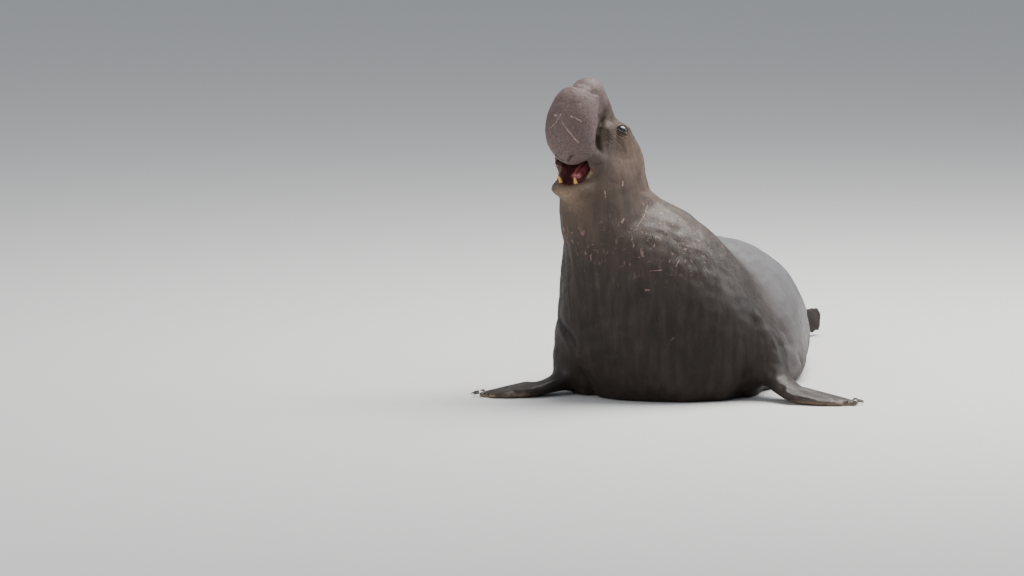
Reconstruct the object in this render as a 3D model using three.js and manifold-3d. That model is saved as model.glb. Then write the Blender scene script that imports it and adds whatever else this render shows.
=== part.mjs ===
// Bull elephant seal, life size, reared on its fore flippers with the head thrown back and the mouth open.
// Millimetres, +Z up. The animal faces -Y, its left side is +X, and the floor is z = 0.
import * as THREE from "three";
import Module from "manifold-3d";

const wasm = await Module();
wasm.setup();

// Driving dimensions
const CUT_GAP = 0.3;
const TRUNK_MESH = [104, 128, 104];
const HEAD_MESH = [39, 38, 39];
const FORE_MESH = [66, 58, 23];
const HIND_MESH = [21, 62, 50];
const TONGUE_MESH = [50, 30, 24];

// The space that each skin is sampled in: low and high along each way.
const HEAD_BOX = [[-470, 520], [-345, 345], [-520, 340]];
const TONGUE_BOX = [[-60, 330], [-90, 90], [-290, -90]];
const TRUNK_BOX = [[-760, 760], [-700, 2300], [-90, 1340]];
const FORE_BOX = {
  left: [[380, 1170], [-620, 200], [-60, 480]],
  right: [[-1150, -380], [-700, 160], [-60, 480]],
};
const REAR_BOX = [[-360, 360], [1960, 2720], [-60, 420]];

const EYE_MIDDLE = [-329, -298, 1437];
const HEAD_TURN = -22;
const HEAD_TILT = 40;
const EYE_RADIUS = 36;
const EYE_SEAT = { forward: 2, out: 112, up: -14 };

const CANINE_LENGTH = 50;
const CANINE_RADIUS = 12;
const CANINE_SEAT = { forward: 314, out: 46, up: -282 };
const CLAW_LENGTH = 34;
const CLAW_RADIUS = 6;
const HORN_BEND = 0.25;

const NECK_CUT = { forward: 0, up: -300, lean: 15 };
const JAW_CUT = { back: 5, up: -140 };
const NECK_BASE_HEIGHT = 860;
const CHEST_BACK = 330;
const LOIN_BACK = 1250;
const HAUNCH_BACK = 2080;
const TAIL_HALF_WIDTH = 58;

const MAX_REACH = 300;

const v3 = (x, y, z) => new THREE.Vector3(x, y, z);

// The five claws of each fore flipper lie in a fan round its tip.
const CLAW_FAN = { length: 96, width: 74, first: -58, step: 27 };
const CLAW_FANS = {
  left: { middle: v3(962, -316, 30), outward: v3(1, 0, -0.07), across: v3(0, 1, 0) },
  right: { middle: v3(-885, -450, 30), outward: v3(-0.98, -0.18, -0.07), across: v3(-0.18, 0.98, 0) },
};
const SHOULDER_CUTS = {
  left: { point: v3(520, -155, 185), way: v3(0.82, -0.32, -0.48) },
  right: { point: v3(-530, -190, 185), way: v3(-0.8, -0.36, -0.48) },
};
const SHOULDER_BLOCK = [1000, 640, 900];

const FUR = 0x5a5350;
const FORE_FUR = 0x57504c;
const HIND_FUR = 0x4d433c;
const IVORY = 0xe0a83c;
const EYE_DARK = 0x14161a;
const TONGUE_PINK = 0x8a4a4c;
const HORN_DARK = 0x2c2622;

// The head's own directions: forward along the heading, out to its left, and up.
const turn = THREE.MathUtils.degToRad(HEAD_TURN);
const forwardAxis = v3(Math.sin(turn), -Math.cos(turn), 0);
const leftAxis = v3(Math.cos(turn), Math.sin(turn), 0);
const upAxis = v3(0, 0, 1);
const eyeMiddle = v3(...EYE_MIDDLE);

function face(forward, left, up) {
  return eyeMiddle
    .clone()
    .addScaledVector(forwardAxis, forward)
    .addScaledVector(leftAxis, left)
    .addScaledVector(upAxis, up);
}

// Two skins run into each other over the given reach.
function blend(a, b, reach) {
  const share = Math.max(reach - Math.abs(a - b), 0) / reach;
  return Math.min(a, b) - share * share * reach * 0.25;
}

function carve(a, hollow, reach) {
  return -blend(-a, hollow, reach);
}

// A fleshy length along a bone line. Each knot is its place, half width, thickness above and below.
function limb(knots, side, steps = 8) {
  const line = new THREE.CatmullRomCurve3(knots.map((k) => k.at));
  const girths = knots.map((k) => v3(k.wide, k.above, k.below ?? k.above));
  const girth = new THREE.CatmullRomCurve3(girths, false, "catmullrom", 0.5);
  const count = (knots.length - 1) * steps;
  const bones = [];
  const reachBox = new THREE.Box3();
  for (let i = 0; i <= count; i++) {
    const t = i / count;
    const place = line.getPoint(t);
    const size = girth.getPoint(t);
    const along = line.getTangent(t);
    const across = side.clone().addScaledVector(along, -side.dot(along)).normalize();
    const over = new THREE.Vector3().crossVectors(along, across);
    bones.push({ place, size, across, over });
    const most = Math.max(size.x, size.y, size.z);
    reachBox.expandByPoint(place.clone().addScalar(most));
    reachBox.expandByPoint(place.clone().addScalar(-most));
  }
  const near = new THREE.Vector3();
  return (p) => {
    const away = reachBox.distanceToPoint(p);
    if (away > MAX_REACH) return away;
    let best = Infinity;
    for (let i = 0; i < count; i++) {
      const a = bones[i];
      const b = bones[i + 1];
      const sx = b.place.x - a.place.x;
      const sy = b.place.y - a.place.y;
      const sz = b.place.z - a.place.z;
      const px = p.x - a.place.x;
      const py = p.y - a.place.y;
      const pz = p.z - a.place.z;
      const t = Math.min(Math.max((sx * px + sy * py + sz * pz) / (sx * sx + sy * sy + sz * sz), 0), 1);
      near.set(px - sx * t, py - sy * t, pz - sz * t);
      const gone = Math.max(near.length(), 1e-6);
      const lateral = near.dot(a.across) / gone;
      const height = near.dot(a.over) / gone;
      const along2 = Math.max(1 - lateral * lateral - height * height, 0);
      const wide = a.size.x + (b.size.x - a.size.x) * t;
      const above = a.size.y + (b.size.y - a.size.y) * t;
      const below = a.size.z + (b.size.z - a.size.z) * t;
      const thick = height > 0 ? above : below;
      const end = (wide + thick) / 2;
      const reach = 1 / Math.sqrt((lateral / wide) ** 2 + (height / thick) ** 2 + along2 / (end * end));
      best = Math.min(best, gone - reach);
    }
    return best;
  };
}

// A rounded mass: centre, three half sizes along forward, left and up, and a pitch of the forward one.
function mass(centre, half, pitchDegrees = 0, forward = forwardAxis, left = leftAxis) {
  const pitch = THREE.MathUtils.degToRad(pitchDegrees);
  const ahead = forward.clone().multiplyScalar(Math.cos(pitch)).addScaledVector(upAxis, Math.sin(pitch));
  const over = new THREE.Vector3().crossVectors(ahead, left);
  const from = new THREE.Vector3();
  return (p) => {
    from.subVectors(p, centre);
    const a = from.dot(ahead) / half[0];
    const b = from.dot(left) / half[1];
    const c = from.dot(over) / half[2];
    const k0 = Math.sqrt(a * a + b * b + c * c);
    const k1 = Math.sqrt((a / half[0]) ** 2 + (b / half[1]) ** 2 + (c / half[2]) ** 2);
    return k1 < 1e-9 ? -Math.min(...half) : (k0 * (k0 - 1)) / k1;
  };
}

const knot = (x, y, z, wide, above, below) => ({ at: v3(x, y, z), wide, above, below });
const faceKnot = (f, l, u, wide, above, below) => ({ at: face(f, l, u), wide, above, below });

// Trunk from the tail root to the chest, lying along the floor, its belly spread by its weight.
const trunk = limb(
  [
    knot(0, 2330, 100, 58, 46),
    knot(0, 2150, 130, 130, 105, 105),
    knot(0, 1900, 180, 255, 215, 195),
    knot(0, 1600, 195, 355, 330, 225),
    knot(0, 1250, 172, 446, 478, 330),
    knot(0, 850, 152, 532, 583, 430),
    knot(-5, 450, 146, 590, 640, 480),
    knot(-20, 100, 300, 486, 466, 420),
  ],
  v3(1, 0, 0),
);

// Chest and neck rise from the floor and lean to the animal's right.
const chest = limb(
  [
    knot(-15, -80, 30, 470, 380, 380),
    knot(-45, -90, 300, 565, 430, 455),
    knot(-164, -115, 620, 446, 380, 430),
    knot(-264, -175, 860, 266, 255, 352),
    knot(-317, -206, 1010, 235, 218, 310),
    knot(-340, -240, 1130, 205, 198, 262),
    knot(-342, -262, 1215, 145, 145, 185),
  ],
  v3(1, 0, 0),
);

// Cranium, muzzle, cheeks, lower jaw and the soft parts of the face.
const cranium = mass(face(-92, 0, -122), [215, 142, 118], HEAD_TILT + 6);
const muzzle = limb(
  [
    faceKnot(-30, 0, -60, 112, 84, 96),
    faceKnot(100, 0, -20, 104, 98, 90),
    faceKnot(215, 0, 15, 86, 88, 80),
  ],
  leftAxis,
);
const lowerJaw = limb(
  [
    faceKnot(-60, 0, -200, 140, 80, 110),
    faceKnot(90, 0, -228, 124, 72, 95),
    faceKnot(208, 0, -262, 118, 52, 72),
    faceKnot(296, 0, -289, 122, 34, 56),
  ],
  leftAxis,
);
const throat = limb(
  [
    faceKnot(60, 0, -300, 150, 110),
    faceKnot(150, 0, -360, 150, 120),
    faceKnot(120, 0, -500, 170, 150),
  ],
  leftAxis,
);
const pair = (make) => [make(1), make(-1)];
const mouthRing = mass(face(192, 0, -160), [134, 157, 114]);
const pads = pair((s) => mass(face(128, 104 * s, -22), [56, 40, 84], 50));
const padCreases = pair((s) => limb(
  [
    faceKnot(178, 132 * s, 40, 14, 14),
    faceKnot(182, 130 * s, 0, 24, 24),
    faceKnot(196, 134 * s, -52, 14, 14),
  ],
  forwardAxis,
));
const brows = pair((s) => mass(face(2, 92 * s, 2), [42, 32, 20], HEAD_TILT - 10));
const temples = pair((s) => mass(face(-52, 106 * s, -16), [46, 30, 34], HEAD_TILT));
const noseRoot = limb(
  [faceKnot(-20, 0, -20, 72, 58), faceKnot(56, 0, 84, 84, 82), faceKnot(148, 0, 180, 95, 104)],
  leftAxis,
);
const noseBulb = limb(
  [
    faceKnot(256, 0, 120, 126, 126, 112),
    faceKnot(290, 0, 58, 141, 124, 112),
    faceKnot(302, 0, -14, 141, 114, 108),
    faceKnot(292, 0, -74, 114, 90, 88),
  ],
  leftAxis,
);
const mouth = limb(
  [
    faceKnot(460, 0, -178, 106, 104, 84),
    faceKnot(300, 0, -168, 104, 98, 84),
    faceKnot(200, 0, -154, 78, 62, 70),
    faceKnot(90, 0, -142, 50, 38, 48),
    faceKnot(10, 0, -132, 36, 22, 28),
  ],
  leftAxis,
);

function headSkin(p) {
  let d = blend(cranium(p), muzzle(p), 60);
  d = blend(d, lowerJaw(p), 60);
  d = blend(d, throat(p), 90);
  d = blend(d, mouthRing(p), 50);
  for (const pad of pads) d = blend(d, pad(p), 30);
  for (const ridge of [...brows, ...temples]) d = blend(d, ridge(p), 26);
  for (const crease of padCreases) d = carve(d, crease(p), 20);
  return d;
}

function noseSkin(p) {
  return blend(noseRoot(p), noseBulb(p), 16);
}

// Fore flippers: upper arm out of the chest, wrist on the floor, blade splayed outwards.
const foreLeft = limb(
  [
    knot(446, -80, 330, 146, 146),
    knot(540, -150, 200, 108, 104),
    knot(622, -220, 96, 98, 66),
    knot(736, -285, 38, 112, 42),
    knot(890, -315, 18, 98, 28),
    knot(1040, -315, 7, 56, 17),
  ],
  v3(0, 1, 0),
);
const foreRight = limb(
  [
    knot(-468, -100, 330, 140, 140),
    knot(-518, -185, 195, 100, 100),
    knot(-572, -275, 78, 90, 50),
    knot(-705, -375, 34, 110, 38),
    knot(-845, -440, 16, 96, 26),
    knot(-955, -462, 7, 54, 17),
  ],
  v3(0, 1, 0),
);

// Hind flippers trail behind with the soles turned to each other.
const hinds = pair((s) => limb(
  [
    knot(80 * s, 2010, 165, 95, 70),
    knot(132 * s, 2170, 118, 78, 38),
    knot(190 * s, 2320, 94, 92, 25),
    knot(236 * s, 2450, 84, 94, 15),
    knot(264 * s, 2540, 82, 74, 9),
  ],
  v3(0, 0, 1),
));

function bodySkin(p) {
  let d = blend(trunk(p), chest(p), 120);
  d = blend(d, foreLeft(p), 90);
  d = blend(d, foreRight(p), 90);
  for (const hind of hinds) d = blend(d, hind(p), 70);
  return d;
}

function fleshSkin(p) {
  const head = blend(headSkin(p), bodySkin(p), 100);
  return carve(head, mouth(p), 18);
}

function wholeSkin(p) {
  return blend(fleshSkin(p), noseSkin(p), 26);
}

// Walks a grid of cells over a skin and lays one vertex in each cell the skin crosses.
function surfaceOf(skin, box, cell, toWorld = (x, y, z) => v3(x, y, z)) {
  const counts = [0, 1, 2].map((i) => Math.ceil((box[i][1] - box[i][0]) / cell[i]) + 1);
  const [nx, ny, nz] = counts;
  const low = box.map((range) => range[0]);
  const at = (i, j, k) => toWorld(low[0] + i * cell[0], low[1] + j * cell[1], low[2] + k * cell[2]);
  const small = Math.min(...cell);
  const index = (i, j, k) => (k * ny + j) * nx + i;
  const values = new Float64Array(nx * ny * nz);
  for (let k = 0; k < nz; k++) {
    for (let j = 0; j < ny; j++) {
      for (let i = 0; i < nx; i++) {
        const rim = i === 0 || j === 0 || k === 0 || i === nx - 1 || j === ny - 1 || k === nz - 1;
        const value = skin(at(i, j, k));
        values[index(i, j, k)] = rim ? Math.max(value, small * 0.4) : value;
      }
    }
  }
  untangle(values, counts, index);
  const corners = [];
  for (let c = 0; c < 8; c++) corners.push([c & 1, (c >> 1) & 1, (c >> 2) & 1]);
  const edges = [];
  for (let a = 0; a < 8; a++) {
    for (const bit of [1, 2, 4]) if (!(a & bit)) edges.push([a, a | bit]);
  }
  const ids = new Int32Array(nx * ny * nz).fill(-1);
  const points = [];
  for (let k = 0; k < nz - 1; k++) {
    for (let j = 0; j < ny - 1; j++) {
      for (let i = 0; i < nx - 1; i++) {
        const sum = v3(0, 0, 0);
        let crossings = 0;
        for (const [a, b] of edges) {
          const [ax, ay, az] = corners[a];
          const [bx, by, bz] = corners[b];
          const va = values[index(i + ax, j + ay, k + az)];
          const vb = values[index(i + bx, j + by, k + bz)];
          if (va < 0 === vb < 0) continue;
          const t = va / (va - vb);
          sum.add(v3(i + ax + (bx - ax) * t, j + ay + (by - ay) * t, k + az + (bz - az) * t));
          crossings++;
        }
        if (!crossings) continue;
        sum.divideScalar(crossings);
        const inner = i > 0 && j > 0 && k > 0 && i < nx - 2 && j < ny - 2 && k < nz - 2;
        const place = at(sum.x, sum.y, sum.z);
        ids[index(i, j, k)] = points.length;
        points.push(inner ? settle(skin, place, small * 0.6) : place);
      }
    }
  }
  const faces = [];
  const lay = (a, b, c, d, flip) => {
    const across = points[a].distanceToSquared(points[c]) < points[b].distanceToSquared(points[d]);
    const two = across ? [[a, b, c], [a, c, d]] : [[a, b, d], [b, c, d]];
    for (const [p, q, r] of two) faces.push(...(flip ? [p, r, q] : [p, q, r]));
  };
  const id = (i, j, k) => ids[index(i, j, k)];
  for (let k = 0; k < nz - 1; k++) {
    for (let j = 0; j < ny - 1; j++) {
      for (let i = 0; i < nx - 1; i++) {
        const here = values[index(i, j, k)] < 0;
        if (j && k && here !== values[index(i + 1, j, k)] < 0) {
          lay(id(i, j - 1, k - 1), id(i, j, k - 1), id(i, j, k), id(i, j - 1, k), !here);
        }
        if (i && k && here !== values[index(i, j + 1, k)] < 0) {
          lay(id(i - 1, j, k - 1), id(i - 1, j, k), id(i, j, k), id(i, j, k - 1), !here);
        }
        if (i && j && here !== values[index(i, j, k + 1)] < 0) {
          lay(id(i - 1, j - 1, k), id(i, j - 1, k), id(i, j, k), id(i - 1, j, k), !here);
        }
      }
    }
  }
  return solidFrom(points, faces);
}

// Where the two sides of the skin meet corner to corner on a cell's face, the faintest corner changes side.
function untangle(values, counts, index) {
  const steps = [[1, 0, 0], [0, 1, 0], [0, 0, 1]];
  for (let round = 0; round < 4; round++) {
    for (let k = 0; k < counts[2] - 1; k++) {
      for (let j = 0; j < counts[1] - 1; j++) {
        for (let i = 0; i < counts[0] - 1; i++) {
          for (let side = 0; side < 3; side++) {
            const u = steps[side];
            const w = steps[(side + 1) % 3];
            const ring = [
              index(i, j, k),
              index(i + u[0], j + u[1], k + u[2]),
              index(i + u[0] + w[0], j + u[1] + w[1], k + u[2] + w[2]),
              index(i + w[0], j + w[1], k + w[2]),
            ];
            const [a, b, c, d] = ring.map((n) => values[n] < 0);
            if (a !== c || b !== d || a === b) continue;
            const faintest = ring.reduce((m, n) => (Math.abs(values[n]) < Math.abs(values[m]) ? n : m));
            values[faintest] = values[faintest] < 0 ? 0.5 : -0.5;
          }
        }
      }
    }
  }
}

// Moves a point onto the skin along its steepest way, no further than the given limit.
function settle(skin, place, limit) {
  const start = place.clone();
  const step = 0.5;
  for (let turnNumber = 0; turnNumber < 3; turnNumber++) {
    const value = skin(place);
    const slope = v3(
      skin(v3(place.x + step, place.y, place.z)) - skin(v3(place.x - step, place.y, place.z)),
      skin(v3(place.x, place.y + step, place.z)) - skin(v3(place.x, place.y - step, place.z)),
      skin(v3(place.x, place.y, place.z + step)) - skin(v3(place.x, place.y, place.z - step)),
    ).divideScalar(2 * step);
    const steep = Math.max(slope.lengthSq(), 0.05);
    place.addScaledVector(slope, -value / steep);
  }
  const moved = place.clone().sub(start);
  if (moved.length() > limit) place.copy(start).addScaledVector(moved.normalize(), limit);
  return place;
}

function solidFrom(points, faces) {
  const vertProperties = new Float32Array(points.length * 3);
  points.forEach((p, i) => p.toArray(vertProperties, i * 3));
  return new wasm.Manifold(new wasm.Mesh({ numProp: 3, vertProperties, triVerts: new Uint32Array(faces) }));
}

// A big block whose low face passes through a point, square to a direction.
function block(point, direction, sizes, from = 0) {
  const along = direction.clone().normalize();
  const turnTo = new THREE.Quaternion().setFromUnitVectors(v3(0, 0, 1), along);
  const shape = new THREE.BoxGeometry(sizes[0], sizes[1], sizes[2]);
  shape.translate(0, 0, sizes[2] / 2 + from);
  shape.applyQuaternion(turnTo);
  shape.translate(point.x, point.y, point.z);
  return solidOf(shape);
}

function boxBetween(low, high) {
  const shape = new THREE.BoxGeometry(high.x - low.x, high.y - low.y, high.z - low.z);
  shape.translate((low.x + high.x) / 2, (low.y + high.y) / 2, (low.z + high.z) / 2);
  return solidOf(shape);
}

function solidOf(geometry) {
  const position = geometry.getAttribute("position");
  const seen = new Map();
  const points = [];
  const faces = [];
  for (const i of geometry.index.array) {
    const p = new THREE.Vector3().fromBufferAttribute(position, i);
    const key = p.toArray().map((n) => Math.round(n * 1000)).join();
    if (!seen.has(key)) {
      seen.set(key, points.length);
      points.push(p);
    }
    faces.push(seen.get(key));
  }
  const whole = [];
  for (let i = 0; i < faces.length; i += 3) {
    const [a, b, c] = faces.slice(i, i + 3);
    if (a !== b && b !== c && a !== c) whole.push(a, b, c);
  }
  return solidFrom(points, whole);
}

// A horn is a row of shrinking rings along a bend, closed at both ends.
function horn(root, direction, bendTo, length, radius, grow = 0) {
  const sides = 8;
  const rows = 4;
  const along = direction.clone().normalize();
  const points = [];
  const faces = [];
  for (let r = 0; r <= rows; r++) {
    const t = r / rows;
    const way = along.clone().addScaledVector(bendTo, t * 0.5).normalize();
    const centre = root.clone().addScaledVector(along, length * t);
    centre.addScaledVector(bendTo, length * HORN_BEND * t * t);
    const across = new THREE.Vector3().crossVectors(way, bendTo).normalize();
    const over = new THREE.Vector3().crossVectors(across, way);
    const girth = radius * Math.sqrt(1 - t * t * 0.97) * (1 - 0.25 * t) + grow;
    for (let s = 0; s < sides; s++) {
      const turnBy = (s / sides) * Math.PI * 2;
      const rim = centre.clone().addScaledVector(across, Math.cos(turnBy) * girth);
      points.push(rim.addScaledVector(over, Math.sin(turnBy) * girth));
    }
  }
  const first = points.push(root.clone().addScaledVector(along, -grow)) - 1;
  const tipPlace = root.clone().addScaledVector(along, length * 1.04 + grow);
  tipPlace.addScaledVector(bendTo, length * HORN_BEND * 1.04);
  const last = points.push(tipPlace) - 1;
  for (let s = 0; s < sides; s++) {
    const n = (s + 1) % sides;
    faces.push(first, s, n);
    for (let r = 0; r < rows; r++) {
      const a = r * sides + s;
      const b = r * sides + n;
      faces.push(a, b + sides, b, a, a + sides, b + sides);
    }
    faces.push(rows * sides + n, rows * sides + s, last);
  }
  return solidFrom(points, faces);
}

const group = new THREE.Group();
function addPart(name, solid, colour, roughness) {
  const mesh = solid.getMesh();
  const geometry = new THREE.BufferGeometry();
  geometry.setAttribute("position", new THREE.BufferAttribute(mesh.vertProperties.slice(), 3));
  geometry.setIndex(new THREE.BufferAttribute(mesh.triVerts.slice(), 1));
  geometry.computeVertexNormals();
  const material = new THREE.MeshStandardMaterial({ color: colour, roughness, metalness: 0 });
  material.name = `${name}_surface`;
  const part = new THREE.Mesh(geometry, material);
  part.name = name;
  group.add(part);
}

const half = CUT_GAP / 2;
const floorCut = block(v3(0, 800, 0), v3(0, 0, 1), [9000, 9000, 4000]);

// Head, as one skin, then its parts.
const inHead = (x, y, z) => face(x, y, z);
const headWhole = surfaceOf(wholeSkin, HEAD_BOX, HEAD_MESH, inHead);
const lean = THREE.MathUtils.degToRad(NECK_CUT.lean);
const neckWay = upAxis.clone().multiplyScalar(Math.cos(lean)).addScaledVector(forwardAxis, Math.sin(lean));
const neckPoint = face(NECK_CUT.forward, 0, NECK_CUT.up);
let headSolid = headWhole.intersect(block(neckPoint, neckWay, [2000, 2000, 1500], half));

const noseOwns = (p) => noseSkin(p) - fleshSkin(p);
const noseSolid = biggest(headSolid.intersect(surfaceOf(noseOwns, HEAD_BOX, HEAD_MESH, inHead)));
headSolid = headSolid.subtract(swollen(noseSolid, 4 * CUT_GAP).add(swollen(noseSolid, CUT_GAP)));

const tongue = limb(
  [
    faceKnot(20, 0, -172, 52, 32, 40),
    faceKnot(120, 0, -188, 52, 34, 40),
    faceKnot(210, 0, -222, 46, 22, 34),
    faceKnot(262, 0, -246, 30, 12, 20),
  ],
  leftAxis,
);
const tongueSolid = surfaceOf(tongue, TONGUE_BOX, TONGUE_MESH, inHead);
const tongueBed = swollen(tongueSolid, 3 * CUT_GAP);

const jawBox = new THREE.BoxGeometry(900, 900, 900);
jawBox.translate(450 + JAW_CUT.back, 0, -450 + JAW_CUT.up);
const jawFrame = new THREE.Matrix4().makeBasis(forwardAxis, leftAxis, upAxis).setPosition(eyeMiddle);
jawBox.applyMatrix4(jawFrame);
const jawBlock = solidOf(jawBox);
let jawSolid = headSolid.intersect(jawBlock).subtract(tongueBed);
const jawRoom = swollen(jawBlock, CUT_GAP);
let skullSolid = headSolid.subtract(jawRoom).subtract(tongueBed);

// Lower canines stand on the front of the jaw.
for (const [side, name] of [[1, "left"], [-1, "right"]]) {
  const root = face(CANINE_SEAT.forward, CANINE_SEAT.out * side, CANINE_SEAT.up);
  const way = upAxis.clone().addScaledVector(forwardAxis, 0.22).addScaledVector(leftAxis, 0.1 * side);
  const canine = horn(root, way, forwardAxis, CANINE_LENGTH, CANINE_RADIUS);
  jawSolid = jawSolid.subtract(horn(root, way, forwardAxis, CANINE_LENGTH, CANINE_RADIUS, CUT_GAP));
  addPart(`canine_${name}`, canine, IVORY, 0.4);
}

for (const [side, name] of [[1, "left"], [-1, "right"]]) {
  const centre = face(EYE_SEAT.forward, EYE_SEAT.out * side, EYE_SEAT.up);
  const ball = new THREE.SphereGeometry(EYE_RADIUS, 14, 10);
  ball.translate(centre.x, centre.y, centre.z);
  const socket = new THREE.SphereGeometry(EYE_RADIUS + 3 * CUT_GAP, 14, 10);
  socket.translate(centre.x, centre.y, centre.z);
  skullSolid = skullSolid.subtract(solidOf(socket));
  addPart(`eye_${name}`, solidOf(ball), EYE_DARK, 0.1);
}
addPart("tongue", tongueSolid, TONGUE_PINK, 0.4);
addPart("lower_jaw", biggest(jawSolid), FUR, 0.8);
addPart("proboscis", biggest(noseSolid), FUR, 0.75);
addPart("head", biggest(skullSolid), FUR, 0.8);

// Trunk, chest and neck, as one skin, then its parts.
const bodyWhole = surfaceOf(fleshSkin, TRUNK_BOX, TRUNK_MESH).intersect(floorCut);
let bodySolid = bodyWhole.subtract(block(neckPoint, neckWay, [2000, 2000, 1500], -half));
for (const cut of Object.values(SHOULDER_CUTS)) {
  bodySolid = bodySolid.subtract(block(cut.point, cut.way, SHOULDER_BLOCK, -half));
}
const backSlab = (low, high) => boxBetween(v3(-3000, low, -3000), v3(3000, high, 3000));
const highFront = boxBetween(v3(-3000, -3000, NECK_BASE_HEIGHT + half), v3(3000, CHEST_BACK - half, 3000));
const lowFront = boxBetween(v3(-3000, -3000, -3000), v3(3000, CHEST_BACK - half, NECK_BASE_HEIGHT - half));
addPart("neck", biggest(bodySolid.intersect(highFront)), FUR, 0.8);
addPart("chest", biggest(bodySolid.intersect(lowFront)), FUR, 0.8);
addPart("loin", biggest(bodySolid.intersect(backSlab(CHEST_BACK + half, LOIN_BACK - half))), FUR, 0.8);
addPart("haunch", biggest(bodySolid.intersect(backSlab(LOIN_BACK + half, HAUNCH_BACK - half))), FUR, 0.8);

// Fore flippers with their claws.
for (const name of ["left", "right"]) {
  const cut = SHOULDER_CUTS[name];
  const room = block(cut.point, cut.way, SHOULDER_BLOCK, half);
  let flipper = surfaceOf(fleshSkin, FORE_BOX[name], FORE_MESH).intersect(floorCut).intersect(room);
  const { middle, outward, across } = CLAW_FANS[name];
  for (let digit = 0; digit < 5; digit++) {
    const swing = THREE.MathUtils.degToRad(CLAW_FAN.first + CLAW_FAN.step * digit);
    const spoke = outward.clone().multiplyScalar(Math.cos(swing)).addScaledVector(across, Math.sin(swing));
    const root = middle.clone().addScaledVector(outward, Math.cos(swing) * CLAW_FAN.length);
    root.addScaledVector(across, Math.sin(swing) * CLAW_FAN.width);
    const way = spoke.addScaledVector(upAxis, 0.1);
    const bend = upAxis.clone().negate();
    flipper = flipper.subtract(horn(root, way, bend, CLAW_LENGTH, CLAW_RADIUS, CUT_GAP));
    addPart(`claw_${name}_${digit + 1}`, horn(root, way, bend, CLAW_LENGTH, CLAW_RADIUS), HORN_DARK, 0.5);
  }
  addPart(`fore_flipper_${name}`, biggest(flipper), FORE_FUR, 0.75);
}

// Tail and hind flippers.
const rearWhole = surfaceOf(fleshSkin, REAR_BOX, HIND_MESH).intersect(floorCut);
const rearSlab = (low, high) => boxBetween(v3(low, HAUNCH_BACK + half, -3000), v3(high, 3000, 3000));
const tailSide = TAIL_HALF_WIDTH - half;
const hindSide = TAIL_HALF_WIDTH + half;
addPart("tail", biggest(rearWhole.intersect(rearSlab(-tailSide, tailSide))), FUR, 0.8);
addPart("hind_flipper_left", biggest(rearWhole.intersect(rearSlab(hindSide, 3000))), HIND_FUR, 0.8);
addPart("hind_flipper_right", biggest(rearWhole.intersect(rearSlab(-3000, -hindSide))), HIND_FUR, 0.8);

// Of the bodies a cut leaves, the one that is the part.
function biggest(solid) {
  return solid.decompose().reduce((most, piece) => (piece.volume() > most.volume() ? piece : most));
}

// The same body with its skin moved out.
function swollen(solid, by) {
  const mesh = solid.getMesh();
  const geometry = new THREE.BufferGeometry();
  geometry.setAttribute("position", new THREE.BufferAttribute(mesh.vertProperties.slice(), 3));
  geometry.setIndex(new THREE.BufferAttribute(mesh.triVerts.slice(), 1));
  geometry.computeVertexNormals();
  const outward = geometry.getAttribute("normal");
  const points = [];
  for (let i = 0; i < outward.count; i++) {
    const normal = v3(0, 0, 0).fromBufferAttribute(outward, i);
    points.push(v3(0, 0, 0).fromArray(mesh.vertProperties, i * 3).addScaledVector(normal, by * 1.2));
  }
  return solidFrom(points, Array.from(mesh.triVerts));
}

export default group;
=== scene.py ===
import math
import bpy
import numpy as np
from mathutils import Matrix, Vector
from mathutils.bvhtree import BVHTree


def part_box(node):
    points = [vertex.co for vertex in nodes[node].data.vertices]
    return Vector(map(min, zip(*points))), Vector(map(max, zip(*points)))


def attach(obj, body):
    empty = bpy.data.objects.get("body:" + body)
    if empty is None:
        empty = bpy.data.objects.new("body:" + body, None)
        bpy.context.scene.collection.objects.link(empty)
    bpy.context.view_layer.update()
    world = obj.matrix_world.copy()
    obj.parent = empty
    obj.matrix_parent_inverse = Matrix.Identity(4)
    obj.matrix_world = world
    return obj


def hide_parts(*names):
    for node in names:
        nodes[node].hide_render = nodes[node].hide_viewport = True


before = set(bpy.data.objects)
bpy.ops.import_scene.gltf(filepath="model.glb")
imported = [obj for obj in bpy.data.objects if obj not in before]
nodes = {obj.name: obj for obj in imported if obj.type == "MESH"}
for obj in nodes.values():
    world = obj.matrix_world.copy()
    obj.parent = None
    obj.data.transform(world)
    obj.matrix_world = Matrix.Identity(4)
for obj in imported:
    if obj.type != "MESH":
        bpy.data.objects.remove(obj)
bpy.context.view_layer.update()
print("stage: frame loaded")

separateStarts = ("eye_", "canine_", "claw_", "tongue")
fleshNames = sorted(n for n in nodes if not n.startswith(separateStarts))
fillNames = sorted(n for n in nodes if n.startswith(separateStarts))
context = bpy.context


# The camera looks at the seal as the photograph does.
view = {
    "azimuth": 14.0,  # degrees round from the front
    "elevation": 7.0,
    "distance": 45.0,  # metres, a long lens
    "pixelsPerMetre": 187.0,
    "originPixel": (676.0, 391.0),  # where the frame's origin shows
    "pictureSize": (1024.0, 576.0),
    "sensor": 36.0,
}
viewTurn = math.radians(view["azimuth"])
viewRise = math.radians(view["elevation"])
viewLevel = math.cos(viewRise)
viewBack = Vector((math.sin(viewTurn) * viewLevel, -math.cos(viewTurn) * viewLevel, math.sin(viewRise)))
viewRight = Vector((math.cos(viewTurn), math.sin(viewTurn), 0))
viewUp = viewBack.cross(viewRight)
halfWide, halfHigh = view["pictureSize"][0] / 2, view["pictureSize"][1] / 2
aimRight = (halfWide - view["originPixel"][0]) / view["pixelsPerMetre"]
aimUp = (view["originPixel"][1] - halfHigh) / view["pixelsPerMetre"]
cameraPlace = viewRight * aimRight + viewUp * aimUp + viewBack * view["distance"]

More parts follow.
